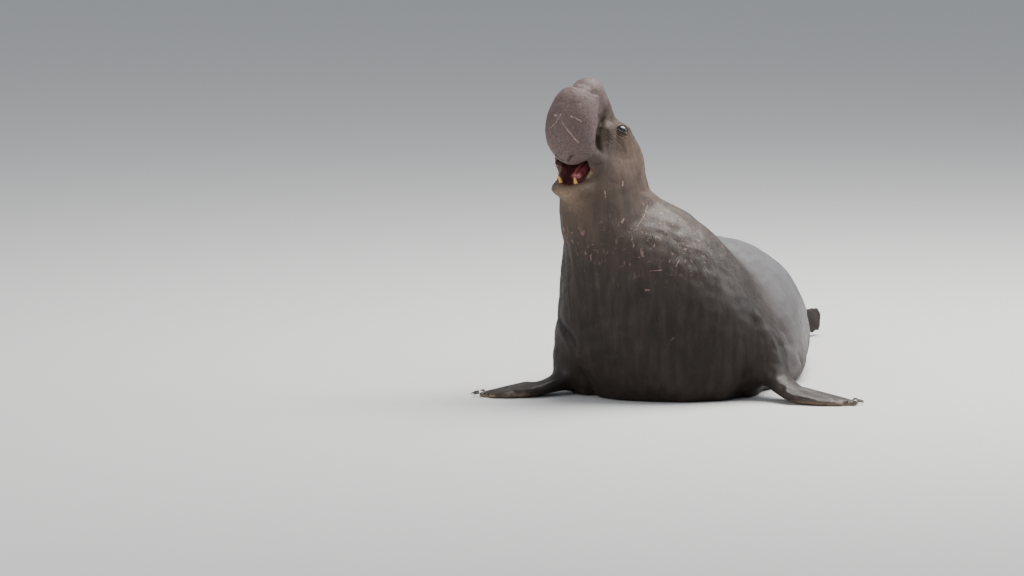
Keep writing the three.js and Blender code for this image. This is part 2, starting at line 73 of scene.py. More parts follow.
cameraData = bpy.data.cameras.new("camera")
cameraData.sensor_width = view["sensor"]
cameraData.lens = view["pixelsPerMetre"] * view["distance"] / view["pictureSize"][0] * view["sensor"]
cameraData.clip_end = 1000
camera = bpy.data.objects.new("camera", cameraData)
camera.rotation_mode = "QUATERNION"
camera.rotation_quaternion = (-viewBack).to_track_quat("-Z", "Y")
camera.location = cameraPlace
context.scene.collection.objects.link(camera)
context.scene.camera = camera


# Small helpers for reading and shaping a mesh.
def pickOnly(piece):
    bpy.ops.object.select_all(action="DESELECT")
    piece.select_set(True)
    context.view_layer.objects.active = piece


def readPlaces(piece):
    places = np.empty(len(piece.data.vertices) * 3)
    piece.data.vertices.foreach_get("co", places)
    return places.reshape(-1, 3)


def writePlaces(piece, places):
    piece.data.vertices.foreach_set("co", places.ravel())
    piece.data.update()


def readNormals(piece):
    normals = np.empty(len(piece.data.vertices) * 3)
    piece.data.vertex_normals.foreach_get("vector", normals)
    return normals.reshape(-1, 3)


def smoothStep(values, start, end):
    t = np.clip((values - start) / (end - start), 0, 1)
    return t * t * (3 - 2 * t)


def bell(values, wide):
    return np.exp(-((values / wide) ** 2))


def unit(vectors):
    size = np.linalg.norm(vectors, axis=-1, keepdims=True)
    return vectors / np.maximum(size, 1e-9)


def spot(places, middle, reach):
    # 1 at the middle, fading out round it
    return bell(np.linalg.norm(places - middle, axis=1), reach)


def randomField(places, wavelength, seed, waves=10):
    # soft bumps of about one wavelength, between about -2 and 2
    chance = np.random.default_rng(seed)
    total = np.zeros(len(places))
    for _ in range(waves):
        way = unit(chance.normal(size=3))
        pace = 2 * math.pi / (wavelength * chance.uniform(0.75, 1.35))
        total += np.sin(places @ (way * pace) + chance.uniform(0, 2 * math.pi))
    return total / math.sqrt(waves / 2)


def applyModifier(piece, kind, **settings):
    pickOnly(piece)
    modifier = piece.modifiers.new(kind, kind)
    for key, value in settings.items():
        setattr(modifier, key, value)
    bpy.ops.object.modifier_apply(modifier=modifier.name)


def setGroup(piece, name, weights):
    # weights go in ten steps, which is enough for smoothing and thinning
    group = piece.vertex_groups.new(name=name)
    steps = np.round(np.clip(weights, 0, 1) * 10).astype(int)
    for step in range(1, 11):
        group.add(np.nonzero(steps == step)[0].tolist(), step / 10, "REPLACE")
    return name


def copyOf(names, newName):
    bpy.ops.object.select_all(action="DESELECT")
    copies = []
    for name in names:
        piece = nodes[name].copy()
        piece.data = piece.data.copy()
        piece.parent = None
        for key in list(piece.keys()):
            del piece[key]
        context.scene.collection.objects.link(piece)
        piece.select_set(True)
        copies.append(piece)
    context.view_layer.objects.active = copies[0]
    if len(copies) > 1:
        bpy.ops.object.join()
    joined = copies[0]
    joined.name = newName
    joined.data.name = newName
    pickOnly(joined)
    bpy.ops.object.mode_set(mode="EDIT")
    bpy.ops.mesh.select_all(action="SELECT")
    bpy.ops.mesh.remove_doubles(threshold=1e-6)
    bpy.ops.object.mode_set(mode="OBJECT")
    joined.data.materials.clear()
    while joined.data.uv_layers:
        joined.data.uv_layers.remove(joined.data.uv_layers[0])
    if joined.data.has_custom_normals:
        bpy.ops.mesh.customdata_custom_splitnormals_clear()
    return joined


def boxMiddle(name):
    low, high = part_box(name)
    return np.array((low + high) / 2)


# The head's own directions come from the two eyes.
head = {
    "eyeForward": 0.002,
    "eyeUp": -0.014,
    "eyeRadius": 0.036,
    "skullTilt": 40.0,  # degrees that the head is thrown back
    "middle": (0.1, 0.0, -0.1),  # forward, left and up from the head's origin
    "whole": 0.36,  # all head within this of the middle
    "gone": 0.62,  # and all trunk beyond this
}
eyeMiddles = {side: boxMiddle("eye_" + side) for side in ("left", "right")}
leftAxis = unit(eyeMiddles["left"] - eyeMiddles["right"])
upAxis = np.array((0.0, 0.0, 1.0))
forwardAxis = np.cross(leftAxis, upAxis)
headOrigin = (eyeMiddles["left"] + eyeMiddles["right"]) / 2
headOrigin = headOrigin - forwardAxis * head["eyeForward"] - upAxis * head["eyeUp"]
headAxes = np.stack([forwardAxis, leftAxis, upAxis], axis=1)
tiltAngle = math.radians(head["skullTilt"])
skullForward = forwardAxis * math.cos(tiltAngle) + upAxis * math.sin(tiltAngle)
skullUp = upAxis * math.cos(tiltAngle) - forwardAxis * math.sin(tiltAngle)


def faceSpace(places):
    return (places - headOrigin) @ headAxes


def facePlace(forward, left, up):
    return headOrigin + forwardAxis * forward + leftAxis * left + upAxis * up


def headDistance(seen):
    return np.linalg.norm(seen - np.array(head["middle"]), axis=1)


# The mouth and the nose are tapering tubes: forward, up, half width, above, below.
mouthTube = [
    (0.460, -0.178, 0.106, 0.104, 0.084),
    (0.300, -0.168, 0.104, 0.098, 0.084),
    (0.200, -0.154, 0.078, 0.062, 0.070),
    (0.090, -0.142, 0.050, 0.038, 0.048),
    (0.010, -0.132, 0.036, 0.022, 0.028),
]
noseTube = [
    (0.148, 0.180, 0.095, 0.104, 0.104),
    (0.256, 0.120, 0.126, 0.119, 0.119),
    (0.290, 0.058, 0.141, 0.118, 0.118),
    (0.302, -0.014, 0.141, 0.111, 0.111),
    (0.292, -0.074, 0.114, 0.089, 0.089),
]


def tubeSpace(places, tube):
    # 1 on the tube's wall and less inside it, and the way out from the tube's middle
    seen = faceSpace(places)
    best = np.full(len(places), 9.0)
    outward = np.zeros((len(places), 3))
    for near, far in zip(tube, tube[1:]):
        start = np.array((near[0], near[1]))
        run = np.array((far[0], far[1])) - start
        length = np.linalg.norm(run)
        away = seen[:, [0, 2]] - start
        t = (away @ run) / length**2
        held = np.clip(t, 0, 1)
        rise = (away - held[:, None] * run) @ np.array((run[1], -run[0])) / length
        past = np.abs(t - held) * length
        wide = near[2] + (far[2] - near[2]) * held
        above = near[3] + (far[3] - near[3]) * held
        below = near[4] + (far[4] - near[4]) * held
        thick = np.where(rise > 0, above, below)
        ratio = np.sqrt((seen[:, 1] / wide) ** 2 + (rise / thick) ** 2 + (past / thick) ** 2)
        gone = away - held[:, None] * run
        closer = ratio < best
        outward[closer] = np.stack([gone[:, 0], seen[:, 1], gone[:, 1]], axis=1)[closer]
        best = np.minimum(best, ratio)
    return best, unit(outward) @ headAxes.T


# One closed skin is made from all the flesh, with the teeth, eyes, tongue and claws bedded in it.
skinMake = {
    "voxel": 0.0046,
    "quickVoxel": 0.009,
    "swell": 0.0016,  # closes the thin cuts between the parts
    "fillSwell": 0.0012,
    "coatDepth": 0.0022,
    "bodyRounds": 150,  # of smoothing
    "faceRounds": 26,
    "triangles": 194000,
    "quickTriangles": 120000,
}
voxel = skinMake["voxel"]
skin = copyOf(fleshNames, "sealSkin")
solidRay = BVHTree.FromObject(skin, context.evaluated_depsgraph_get())
applyModifier(skin, "DISPLACE", strength=skinMake["swell"], mid_level=0.0)
filling = copyOf(fillNames, "filling")
applyModifier(filling, "DISPLACE", strength=skinMake["fillSwell"], mid_level=0.0)
bpy.ops.object.select_all(action="DESELECT")
filling.select_set(True)
skin.select_set(True)
context.view_layer.objects.active = skin
bpy.ops.object.join()
applyModifier(skin, "REMESH", mode="VOXEL", voxel_size=voxel, use_smooth_shade=True)
print("stage: skin remeshed", len(skin.data.vertices))

# Facets of the coarse solids are smoothed out, most on the trunk and least at thin edges.
places = readPlaces(skin)
onTrunk = smoothStep(headDistance(faceSpace(places)), head["whole"], head["gone"])
foreOut = smoothStep(np.abs(places[:, 0]), 0.55, 0.70) * smoothStep(-places[:, 1], -0.25, 0.0)
foreOut *= smoothStep(-places[:, 2], -0.34, -0.22)
hindOut = smoothStep(places[:, 1], 2.15, 2.30)
thin = np.maximum(foreOut, hindOut)
lipNear = 1 - smoothStep(np.abs(tubeSpace(places, mouthTube)[0] - 1.05), 0.08, 0.3)
scale = (skinMake["voxel"] / voxel) ** 2
bodyRounds = max(int(skinMake["bodyRounds"] * scale), 20)
faceRounds = max(int(skinMake["faceRounds"] * scale), 6)
setGroup(skin, "broad", onTrunk * (1 - thin))
setGroup(skin, "face", (1 - onTrunk) * (1 - 0.75 * lipNear) + 0.2 * thin)
applyModifier(skin, "SMOOTH", factor=0.5, iterations=bodyRounds, vertex_group="broad")
applyModifier(skin, "SMOOTH", factor=0.5, iterations=faceRounds, vertex_group="face")
applyModifier(skin, "SMOOTH", factor=0.5, iterations=3)
skin.vertex_groups.clear()
applyModifier(skin, "DISPLACE", strength=-skinMake["coatDepth"], mid_level=0.0)
print("stage: skin smoothed")


# Picture places are carried to the skin along the camera's sight, so each line lies on what carries it.
def onSkin(pixel):
    right = (pixel[0] - halfWide) / view["pixelsPerMetre"]
    up = (halfHigh - pixel[1]) / view["pixelsPerMetre"]
    aim = viewRight * (aimRight + right) + viewUp * (aimUp + up)
    hit = solidRay.ray_cast(cameraPlace, (aim - cameraPlace).normalized())
    return None if hit[0] is None else np.array(hit[0])


def skinLine(pixels, steps=6):
    # a soft curve through the picture places
    line = []
    for i in range(len(pixels) - 1):
        for step in range(steps):
            t = step / steps
            line.append(tuple(pixels[i][k] * (1 - t) + pixels[i + 1][k] * t for k in range(2)))
    line.append(pixels[-1])
    hits = [onSkin(p) for p in line]
    hits = np.array([h for h in hits if h is not None])
    if len(hits) > 4:
        hits[1:-1] = (hits[:-2] + 2 * hits[1:-1] + hits[2:]) / 4
    return hits


def lineSpace(places, line, reach):
    # distance along the skin from the line, signed by side, and how far along it, from 0 to 1
    low, high = line.min(0) - reach, line.max(0) + reach
    near = np.nonzero(np.all((places > low) & (places < high), axis=1))[0]
    spots = places[near]
    gap = np.full(len(near), 9.0)
    share = np.zeros(len(near))
    away = np.zeros((len(near), 3))
    course = np.zeros((len(near), 3))
    for i, (a, b) in enumerate(zip(line, line[1:])):
        run = b - a
        t = np.clip((spots - a) @ run / max(run @ run, 1e-12), 0, 1)
        off = spots - (a + t[:, None] * run)
        size = np.linalg.norm(off, axis=1)
        closer = size < gap
        gap[closer] = size[closer]
        share[closer] = (i + t[closer]) / (len(line) - 1)
        away[closer] = off[closer]
        course[closer] = unit(run)
    return near, gap, share, away, course


def mirrored(line, about):
    # the same line on the other side of the trunk, or of the head
    if about == "trunk":
        return line * np.array((-1.0, 1.0, 1.0))
    return headOrigin + (faceSpace(line) * np.array((1.0, -1.0, 1.0))) @ headAxes.T


def onBody(line):
    # each place moved to the nearest place of the solids
    return np.array([solidRay.find_nearest(Vector(place))[0] for place in line])


def pressFold(places, normals, line, wide, deep, step=0.0):
    # a groove along the line, with one side standing a little over the other
    near, gap, share, away, course = lineSpace(places, line, wide * 4)
    if len(near) == 0:
        return
    side = np.sign(np.einsum("ij,ij->i", np.cross(course, normals[near]), away))
    fade = np.sin(np.pi * np.clip(share, 0.02, 0.98)) ** 0.6
    pull = -deep * bell(gap, wide)
    lift = step * side * (gap / wide) * bell(gap, 1.6 * wide)
    places[near] += normals[near] * ((pull + lift) * fade)[:, None]


# The eyes look out and a little forward and up. Lids wrap the ball round an almond opening.
lids = {
    "out": 0.88,
    "ahead": 0.34,
    "above": 0.26,
    "halfLong": 0.0345,
    "halfHigh": 0.0200,
    "thick": 0.0032,
    "rimHigh": 0.0016,
    "rimWide": 0.004,
    "flare": 0.05,
    "bedded": 0.007,  # of the skin behind the ball, in the opening
    "wrap": 0.006,
    "blendOut": 0.040,
    "reach": 0.085,
    "slope": 8.0,  # degrees that the opening turns from the skull's line
}
eyeFolds = {
    "reach": 0.11,
    "under": 0.0022,
    "over": 0.0012,
    # distance from the opening, half width, height
    "waves": ((0.0135, 0.0032, -1.0), (0.026, 0.004, -0.8), (0.0195, 0.004, 0.5)),
}
eyeFrames = {}
for side, sign in (("left", 1), ("right", -1)):
    outward = unit(leftAxis * sign * lids["out"] + skullForward * lids["ahead"] + skullUp * lids["above"])
    slope = math.radians(lids["slope"])
    longWay = skullForward * math.cos(slope) - skullUp * math.sin(slope)
    longWay = unit(longWay - outward * (longWay @ outward))
    highWay = np.cross(outward, longWay) * -sign
    highWay = highWay if highWay @ skullUp > 0 else -highWay
    eyeFrames[side] = (eyeMiddles[side], outward, longWay, highWay)


def refineNear(piece, middle, reach, cuts):
    # a finer mesh within reach of a place
    places = readPlaces(piece)
    close = np.linalg.norm(places - middle, axis=1) < reach
    pickOnly(piece)
    bpy.ops.object.mode_set(mode="EDIT")
    bpy.ops.mesh.select_mode(type="VERT")
    bpy.ops.mesh.select_all(action="DESELECT")
    bpy.ops.object.mode_set(mode="OBJECT")
    piece.data.vertices.foreach_set("select", close)
    bpy.ops.object.mode_set(mode="EDIT")
    bpy.ops.mesh.select_mode(type="FACE")
    bpy.ops.mesh.subdivide(number_cuts=cuts, smoothness=0.0)
    bpy.ops.object.mode_set(mode="OBJECT")


for side in eyeFrames:
    refineNear(skin, eyeMiddles[side] + eyeFrames[side][1] * 0.03, 0.062, 2)
places = readPlaces(skin)


def eyeSpace(places, side):
    middle, outward, longWay, highWay = eyeFrames[side]
    away = places - middle
    return away @ outward, away @ longWay, away @ highWay, np.linalg.norm(away, axis=1)


def lidGap(places, side):
    # below 0 in the opening, more than 0 on the lids
    outwards, along, above, size = eyeSpace(places, side)
    reach = np.clip(np.abs(along) / lids["halfLong"], 0, 1)
    high = lids["halfHigh"] * (1 - reach**2.2)
    past = np.maximum(np.abs(along) - lids["halfLong"], 0)
    gap = np.where(above > 0, above - high, -above - high * 0.92)
    return np.where(past > 0, np.sqrt(past**2 + above**2), gap), outwards, size


for side in eyeFrames:
    gap, outwards, size = lidGap(places, side)
    near = (size < lids["reach"]) & (outwards > -0.004)
    radius = head["eyeRadius"]
    wanted = radius + lids["thick"] + lids["flare"] * np.clip(gap, 0, 1)
    wanted = wanted + lids["rimHigh"] * bell(gap - lids["rimWide"], lids["rimWide"])
    hold = 1 - smoothStep(gap, lids["wrap"], lids["blendOut"])
    hold *= smoothStep(outwards, -0.004, 0.010)
    newSize = size + (wanted - size) * hold
    newSize = np.where(gap < 0.0, radius - lids["bedded"], newSize)
    shift = np.where(near, newSize - size, 0)
    places += unit(places - eyeMiddles[side]) * shift[:, None]
writePlaces(skin, places)
normals = readNormals(skin)

# Two folds run round each eye, deeper below it than above, with a low ridge between them.
for side in eyeFrames:
    gap, outwards, size = lidGap(places, side)
    above = eyeSpace(places, side)[2]
    around = (size < eyeFolds["reach"]) & (outwards > 0)
    ring = np.where(above < 0.004, eyeFolds["under"], eyeFolds["over"])
    wave = sum(high * bell(gap - at, wide) for at, wide, high in eyeFolds["waves"])
    places += normals * (wave * ring * around)[:, None]

# Broad, uneven fat under the skin, then wrinkles that run with each region.
seen = faceSpace(places)
onTrunk = smoothStep(headDistance(seen), head["whole"], head["gone"])
offFloor = smoothStep(places[:, 2], 0.02, 0.10)
shape = {
    "fat": 0.0032,
    "fatWave": 0.34,
    "ripple": 0.0009,
    "rippleWave": 0.085,
    "wrinkle": 0.0010,
    "wrinkleWave": 0.034,
    "pebble": 0.0005,
    "pebbleWave": 0.014,
    "noseFold": 0.0012,
    "noseFoldWave": 0.030,
}
lift = shape["fat"] * randomField(places, shape["fatWave"], 3) * onTrunk * offFloor
lift += shape["ripple"] * randomField(places, shape["rippleWave"], 5) * offFloor * (0.35 + 0.65 * onTrunk)
along = places * np.array((1.0, 0.28, 1.0))
upright = smoothStep(-places[:, 1], -0.25, 0.15)
vertical = places * np.array((1.0, 1.0, 0.30))
crease = randomField(along, shape["wrinkleWave"], 7) * (1 - upright)
crease += randomField(vertical, shape["wrinkleWave"], 8) * upright
patchy = 0.35 + 0.65 * smoothStep(randomField(places, 0.4, 9), -0.2, 0.9)
lift -= shape["wrinkle"] * bell(crease, 0.22) * onTrunk * offFloor * patchy
noseOn = smoothStep(seen[:, 0], 0.16, 0.24) * smoothStep(seen[:, 2], -0.16, -0.08)
lift += shape["pebble"] * randomField(places, shape["pebbleWave"], 11) * noseOn
folds = randomField(seen * np.array((0.6, 0.35, 1.0)), shape["noseFoldWave"], 12)
noseLow = smoothStep(-seen[:, 2], -0.02, 0.06)
lift -= shape["noseFold"] * bell(folds, 0.25) * noseOn * noseLow
places += normals * lift[:, None]
print("stage: broad shape")

# Single folds that the picture shows, at its own places, and mirrored where a hidden side needs them.
crescentPlaces = [(604, 118), (600, 126), (597.5, 136), (598, 146), (602, 152)]
foldLines = [
    # picture places, half width, depth, step, what they are mirrored about
    ([(722, 258), (736, 271), (752, 296), (768, 318), (783, 336), (789, 362)], 0.036, 0.006, 0.010, "trunk"),
    ([(554, 300), (557, 318), (566, 334), (578, 353)], 0.020, 0.012, 0.014, ""),
    ([(775, 322), (786, 334), (794, 350)], 0.018, 0.005, 0.004, "trunk"),
    ([(768, 330), (779, 345), (786, 360)], 0.016, 0.004, 0.003, "trunk"),
    ([(700, 214), (722, 236), (742, 262)], 0.030, 0.003, 0.004, "trunk"),
    ([(733, 248), (752, 268), (768, 292)], 0.026, 0.0025, 0.003, "trunk"),
    ([(757, 272), (774, 298), (784, 318)], 0.024, 0.0025, 0.003, "trunk"),
    ([(797, 352), (802, 366), (800, 378)], 0.014, 0.006, 0.005, "trunk"),
    ([(556, 232), (559, 262), (557, 292)], 0.012, 0.005, 0.004, ""),
    (crescentPlaces, 0.013, 0.022, 0.004, "head"),
    ([(566, 87.5), (572, 86), (580, 86.5), (592, 93), (599, 95)], 0.012, 0.012, 0.006, "head"),
    ([(592, 163), (597, 165), (604, 163)], 0.008, 0.006, 0.0, "head"),
    ([(613, 154), (622, 159), (632, 159)], 0.012, 0.0020, 0.0, "head"),
    ([(606, 178), (616, 184), (628, 184)], 0.014, 0.0018, 0.0, "head"),
]
for pixels, wide, deep, step, about in foldLines:
    line = skinLine(pixels)
    if len(line) < 3:
        continue
    pressFold(places, normals, line, wide, deep, step)
    if about:
        pressFold(places, normals, onBody(mirrored(line, about)), wide, deep, -step)

# Two nostril slits open under the hanging nose, and a small ear pit lies behind each eye.
openings = {
    "nostrilFrom": (0.352, 0.020, -0.150),
    "nostrilTo": (0.366, 0.062, -0.118),
    "nostril": (0.008, 0.015),  # half width and depth
    "nostrilSteps": 7,
    "ear": (-0.115, 0.150, -0.045),
    "earReach": 0.009,
    "earDepth": 0.008,
}
nostrilLines = []
earPlaces = []
for sign in (1, -1):
    flip = np.array((1, sign, 1))
    start = facePlace(*(np.array(openings["nostrilFrom"]) * flip))
    end = facePlace(*(np.array(openings["nostrilTo"]) * flip))
    shares = np.linspace(0, 1, openings["nostrilSteps"])[:, None]
    nostrilLines.append(onBody(start + (end - start) * shares))
    pressFold(places, normals, nostrilLines[-1], *openings["nostril"])
    earPlaces.append(onBody([facePlace(*(np.array(openings["ear"]) * flip))])[0])
    pit = spot(places, earPlaces[-1], openings["earReach"])
    places -= normals * (openings["earDepth"] * pit)[:, None]

# The gum stands up in four small bumps between the canines.
gum = {
    "forward": 0.330,
    "up": -0.292,
    "lefts": (-0.027, -0.009, 0.009, 0.027),
    "high": 0.005,
    "reach": 0.006,
}
for left in gum["lefts"]:
    place = onBody([facePlace(gum["forward"], left, gum["up"])])[0]
    places += normals * (gum["high"] * spot(places, place, gum["reach"]))[:, None]

# Five digits ridge each fore flipper, with the web drawn in between their tips.
digits = {
    "wrists": {"left": (0.740, -0.285), "right": (-0.705, -0.375)},
    "wide": 0.015,
    "high": 0.007,
    "notch": 0.007,
    "steps": 12,
    "dropFrom": 0.6,  # above every fore flipper
    "floor": 0.0006,
}


def turnFrom(way, spots):
    # how far each place is turned round from a level way
    return np.arctan2(way[0] * spots[:, 1] - way[1] * spots[:, 0], spots @ way)


for side, wrist in digits["wrists"].items():
    tips = [boxMiddle(f"claw_{side}_{digit}")[:2] for digit in range(1, 6)]
    wrist = np.array(wrist)
    for tip in tips:
        line = []
        for share in np.linspace(0.0, 0.97, digits["steps"]):
            above = Vector((*(wrist + (tip - wrist) * share), digits["dropFrom"]))
            hit = solidRay.ray_cast(above, Vector((0, 0, -1)))[0]
            if hit is not None:
                line.append(np.array(hit))
        upper = normals * smoothStep(normals[:, 2], 0.0, 0.5)[:, None]
        pressFold(places, upper, np.array(line), digits["wide"], -digits["high"])
    away = places[:, :2] - wrist
    reaches = np.array(tips) - wrist
    span = np.mean(np.linalg.norm(reaches, axis=1))
    outTo = unit(np.mean(tips, axis=0) - wrist)
    turnOf = turnFrom(outTo, away)
    tipTurns = np.sort(turnFrom(outTo, reaches))
    far = smoothStep(np.linalg.norm(away, axis=1) / span, 0.55, 0.95) * (places[:, 2] < 0.12)
    for first, second in zip(tipTurns, tipTurns[1:]):
        share = np.clip((turnOf - first) / (second - first), 0, 1)
        pull = digits["notch"] * np.sin(np.pi * share) ** 2 * far
        places[:, :2] -= unit(away) * pull[:, None]
places[:, 2] = np.maximum(places[:, 2], digits["floor"])

# Rays fan over the upright hind flippers, and the hind edge is drawn in between the two long outer digits.
rays = {
    "from": (0.196, 2.33, 0.094),
    "to": (0.266, 2.60),
    "spread": (0.030, 0.062, 0.092, 0.122, 0.156),  # heights of the tips
    "wide": 0.009,
    "high": 0.0040,
    "near": 0.06,
    "notch": 0.055,
    "ripple": 0.012,
    "pitch": 0.031,
    "middle": 0.092,
    "reach": 0.040,
}
for sign in (1, -1):
    start = np.array(rays["from"]) * np.array((sign, 1, 1))
    for high in rays["spread"]:
        end = np.array((rays["to"][0] * sign, rays["to"][1], high))
        line = start + (end - start) * np.linspace(0, 1, 10)[:, None]
        near, _, share, away = lineSpace(places, line, rays["near"])[:4]
        if len(near) == 0:
            continue
        sideways = away - normals[near] * np.einsum("ij,ij->i", away, normals[near])[:, None]
        gap = np.linalg.norm(sideways, axis=1)
        lift = rays["high"] * bell(gap, rays["wide"]) * smoothStep(share, 0.0, 0.3)
        places[near] += normals[near] * lift[:, None]
hindFar = smoothStep(places[:, 1], 2.44, 2.60) * (np.abs(places[:, 0]) > 0.15)
dip = rays["notch"] * bell(places[:, 2] - rays["middle"], rays["reach"])
dip += rays["ripple"] * np.sin((places[:, 2] - rays["spread"][0]) * math.pi / rays["pitch"]) ** 2
places[:, 1] -= dip * hindFar
writePlaces(skin, places)
print("stage: folds pressed")

# The skin is thinned where it is smooth, so that the face keeps its detail.
setGroup(skin, "spare", smoothStep(headDistance(faceSpace(places)), 0.25, 0.55))
count = sum(len(p.vertices) - 2 for p in skin.data.polygons)
wanted = skinMake["triangles"]
kept = min(1.0, wanted / count)
applyModifier(skin, "DECIMATE", ratio=kept, vertex_group="spare", vertex_group_factor=0.0004)
skin.vertex_groups.clear()
bpy.ops.object.shade_smooth()
print("stage: skin thinned", len(skin.data.polygons))

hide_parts(*fleshNames)
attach(skin, "root")

# Where each marking lies, worked out from place; the tone carries painted light on skin that faces up, and
# the dark rims and the deep end of the mouth carry painted shade. The coat reads the same markings at its
# roots.
markNames = ("tone", "tan", "pale", "flesh", "rim", "scarred", "damp", "bulb", "lie", "deep")
patches = {
    # forward, left, up and reach
    "cheek": (0.0, 0.17, -0.13, 0.16),
    "nape": (-0.24, 0.10, -0.22, 0.17),
    "chin": (0.36, 0.0, -0.325, 0.105),
    "follicles": (0.150, 0.150, 0.045, 0.030),
}


def patch(places, name, sign=1):
    forward, left, up, reach = patches[name]
    return spot(places, facePlace(forward, left * sign, up), reach)


def markings(places, normals):
    seen = faceSpace(places)
    mouth, mouthOut = tubeSpace(places, mouthTube)
    nose = tubeSpace(places, noseTube)[0]
    x, y, z = places.T
    onHead = 1 - smoothStep(headDistance(seen), 0.34, 0.55)
    uneven = randomField(places, 0.5, 21) * 0.03 + randomField(places, 0.16, 22) * 0.02
    marks = {}
    behind = smoothStep(y + 0.35 * np.abs(x), -0.05, 0.60)
    high = smoothStep(z, 0.30, 1.15)
    # tone: darker low down, lighter higher up and further back, and lighter again where the skin faces up,
    # which is painted light from overhead
    tone = 0.07 + 0.40 * high + 0.66 * behind * (0.45 + 0.55 * smoothStep(normals[:, 2], -0.3, 0.7))
    tone = tone * (1 - onHead) + 0.56 * onHead + uneven
    foreFin = smoothStep(np.abs(x), 0.58, 0.72) * (y < 0.2) * (z < 0.3)
    fin = np.maximum(foreFin, smoothStep(y, 2.25, 2.4) * 0.4)
    # the rear end and the hind flippers are painted darker, as painted shade
    tone = tone + 0.16 * fin - 0.75 * smoothStep(y, 2.0, 2.3)
    marks["tone"] = np.clip(tone, 0, 1)
    bulb = 1 - smoothStep(nose, 1.04, 1.22)
    marks["bulb"] = bulb
    cheek = patch(places, "cheek") + patch(places, "cheek", -1)
    nape = patch(places, "nape") + patch(places, "nape", -1)
    tan = 0.38 * cheek + 0.42 * nape + 0.22 * onHead * (1 - bulb)
    tan += 0.35 * smoothStep(z, 0.7, 1.2) * (1 - onHead) * smoothStep(-y, -0.3, 0.2)
    marks["tan"] = tan
    chin = patch(places, "chin") * (mouth > 1.0)
    facing = -np.einsum("ij,ij->i", normals, mouthOut)
    notNose = smoothStep(nose, 1.08, 1.20)
    flesh = smoothStep(facing, -0.10, 0.30) * (1 - smoothStep(mouth, 1.22, 1.42)) * notNose
    marks["flesh"] = flesh
    throat = np.maximum(smoothStep(-seen[:, 0], -0.20, -0.05), smoothStep(seen[:, 2], -0.17, -0.11))
    # deep: the back and the roof of the mouth, where the lining is darkened as painted shade
    marks["deep"] = flesh * throat
    lip = bell(mouth - 1.20, 0.10) * smoothStep(-seen[:, 2], 0.15, 0.22) * (1 - bulb)
    lip = lip * smoothStep(0.55 - np.abs(facing - 0.05), 0.0, 0.4)
    folded = fin * (1 - smoothStep(z, 0.008, 0.030)) * (y < 1)
    pale = 0.7 * chin + 0.8 * lip + 0.7 * folded
    rim = np.zeros(len(places))
    for side, sign in (("left", 1), ("right", -1)):
        gap, outwards, size = lidGap(places, side)
        middle, outward, longWay = eyeFrames[side][:3]
        facing = (outwards > 0) & (size < 0.10)
        rim = np.maximum(rim, facing * (1 - smoothStep(gap, 0.006, 0.013)))
        corner = middle + outward * 0.030 + longWay * 0.038
        rim = np.maximum(rim, 0.9 * spot(places, corner, 0.012))
        under = middle + outward * 0.026 - upAxis * 0.048 - forwardAxis * 0.010
        marks["tan"] = marks["tan"] + 1.1 * spot(places, under, 0.026) * (gap > 0.006)
        # a small painted highlight on the lower lid, added to the pale mark
        lidHighlight = under + upAxis * 0.010 + forwardAxis * 0.008
        pale = pale + 0.45 * spot(places, lidHighlight, 0.011) * (gap > 0.006)
        marks["tan"] = marks["tan"] + 0.9 * patch(places, "follicles", sign)
    # painted shade in the crease beside the nose and in the nostril slits
    for line, wide, most in shadeLines:
        near, gap = lineSpace(places, line, wide * 3)[:2]
        rim[near] = np.maximum(rim[near], most * bell(gap, wide))
    # painted shade in the ear pits
    for place in earPlaces:
        rim = np.maximum(rim, spot(places, place, openings["earReach"]))
    marks["rim"] = rim
    marks["pale"] = pale
    marks["scarred"] = smoothStep(z, 0.55, 0.95) * smoothStep(-y, -0.25, 0.1) * (1 - 0.85 * onHead)
    wetBack = behind * smoothStep(normals[:, 2], -0.4, 0.6) * (1 - smoothStep(y, 2.0, 2.3))
    marks["damp"] = np.maximum(wetBack, 0.45 * smoothStep(normals[:, 2], -0.3, 0.5)) * (1 - onHead)
    marks["lie"] = smoothStep(y + 0.3 * np.abs(x), 0.0, 0.45) * (1 - onHead)
    return {name: np.clip(marks[name], 0, 1) for name in markNames}


def writeMarks(piece, marks):
    for name in markNames:
        layer = piece.data.attributes.new(name, "FLOAT", "POINT")
        layer.data.foreach_set("value", marks[name].astype(np.float32))


def hollows(piece):
    # how far each place lies below its neighbours, for painted shade in the creases
    mesh = piece.data
    ends = np.empty(len(mesh.edges) * 2, dtype=np.int64)
    mesh.edges.foreach_get("vertices", ends)
    ends = ends.reshape(-1, 2)
    places = readPlaces(piece)
    count = np.bincount(ends.ravel(), minlength=len(places))
    middle = np.empty_like(places)
    for k in range(3):
        total = np.bincount(ends[:, 0], places[ends[:, 1], k], len(places))
        total += np.bincount(ends[:, 1], places[ends[:, 0], k], len(places))
        middle[:, k] = total / np.maximum(count, 1)
    reach = np.linalg.norm(places[ends[:, 0]] - places[ends[:, 1]], axis=1)
    reach = np.bincount(ends[:, 0], reach, len(places)) + np.bincount(ends[:, 1], reach, len(places))
    reach /= np.maximum(count, 1)
    return np.einsum("ij,ij->i", middle - places, readNormals(piece)) / np.maximum(reach, 1e-5)


# The crescent crease beside the nose and the nostril slits get painted shade.
crescent = skinLine(crescentPlaces)
shadeLines = [(line, 0.015, 0.9) for line in (crescent, mirrored(crescent, "head"))]
shadeLines += [(line, openings["nostril"][0], 1.0) for line in nostrilLines]
skinPlaces = readPlaces(skin)
skinNormals = readNormals(skin)
skinMarks = markings(skinPlaces, skinNormals)
writeMarks(skin, skinMarks)
creaseShade = skin.data.attributes.new("creaseShade", "FLOAT", "POINT")
creaseShade.data.foreach_set("value", np.clip(hollows(skin) * 4, 0, 1).astype(np.float32))
print("stage: markings placed")


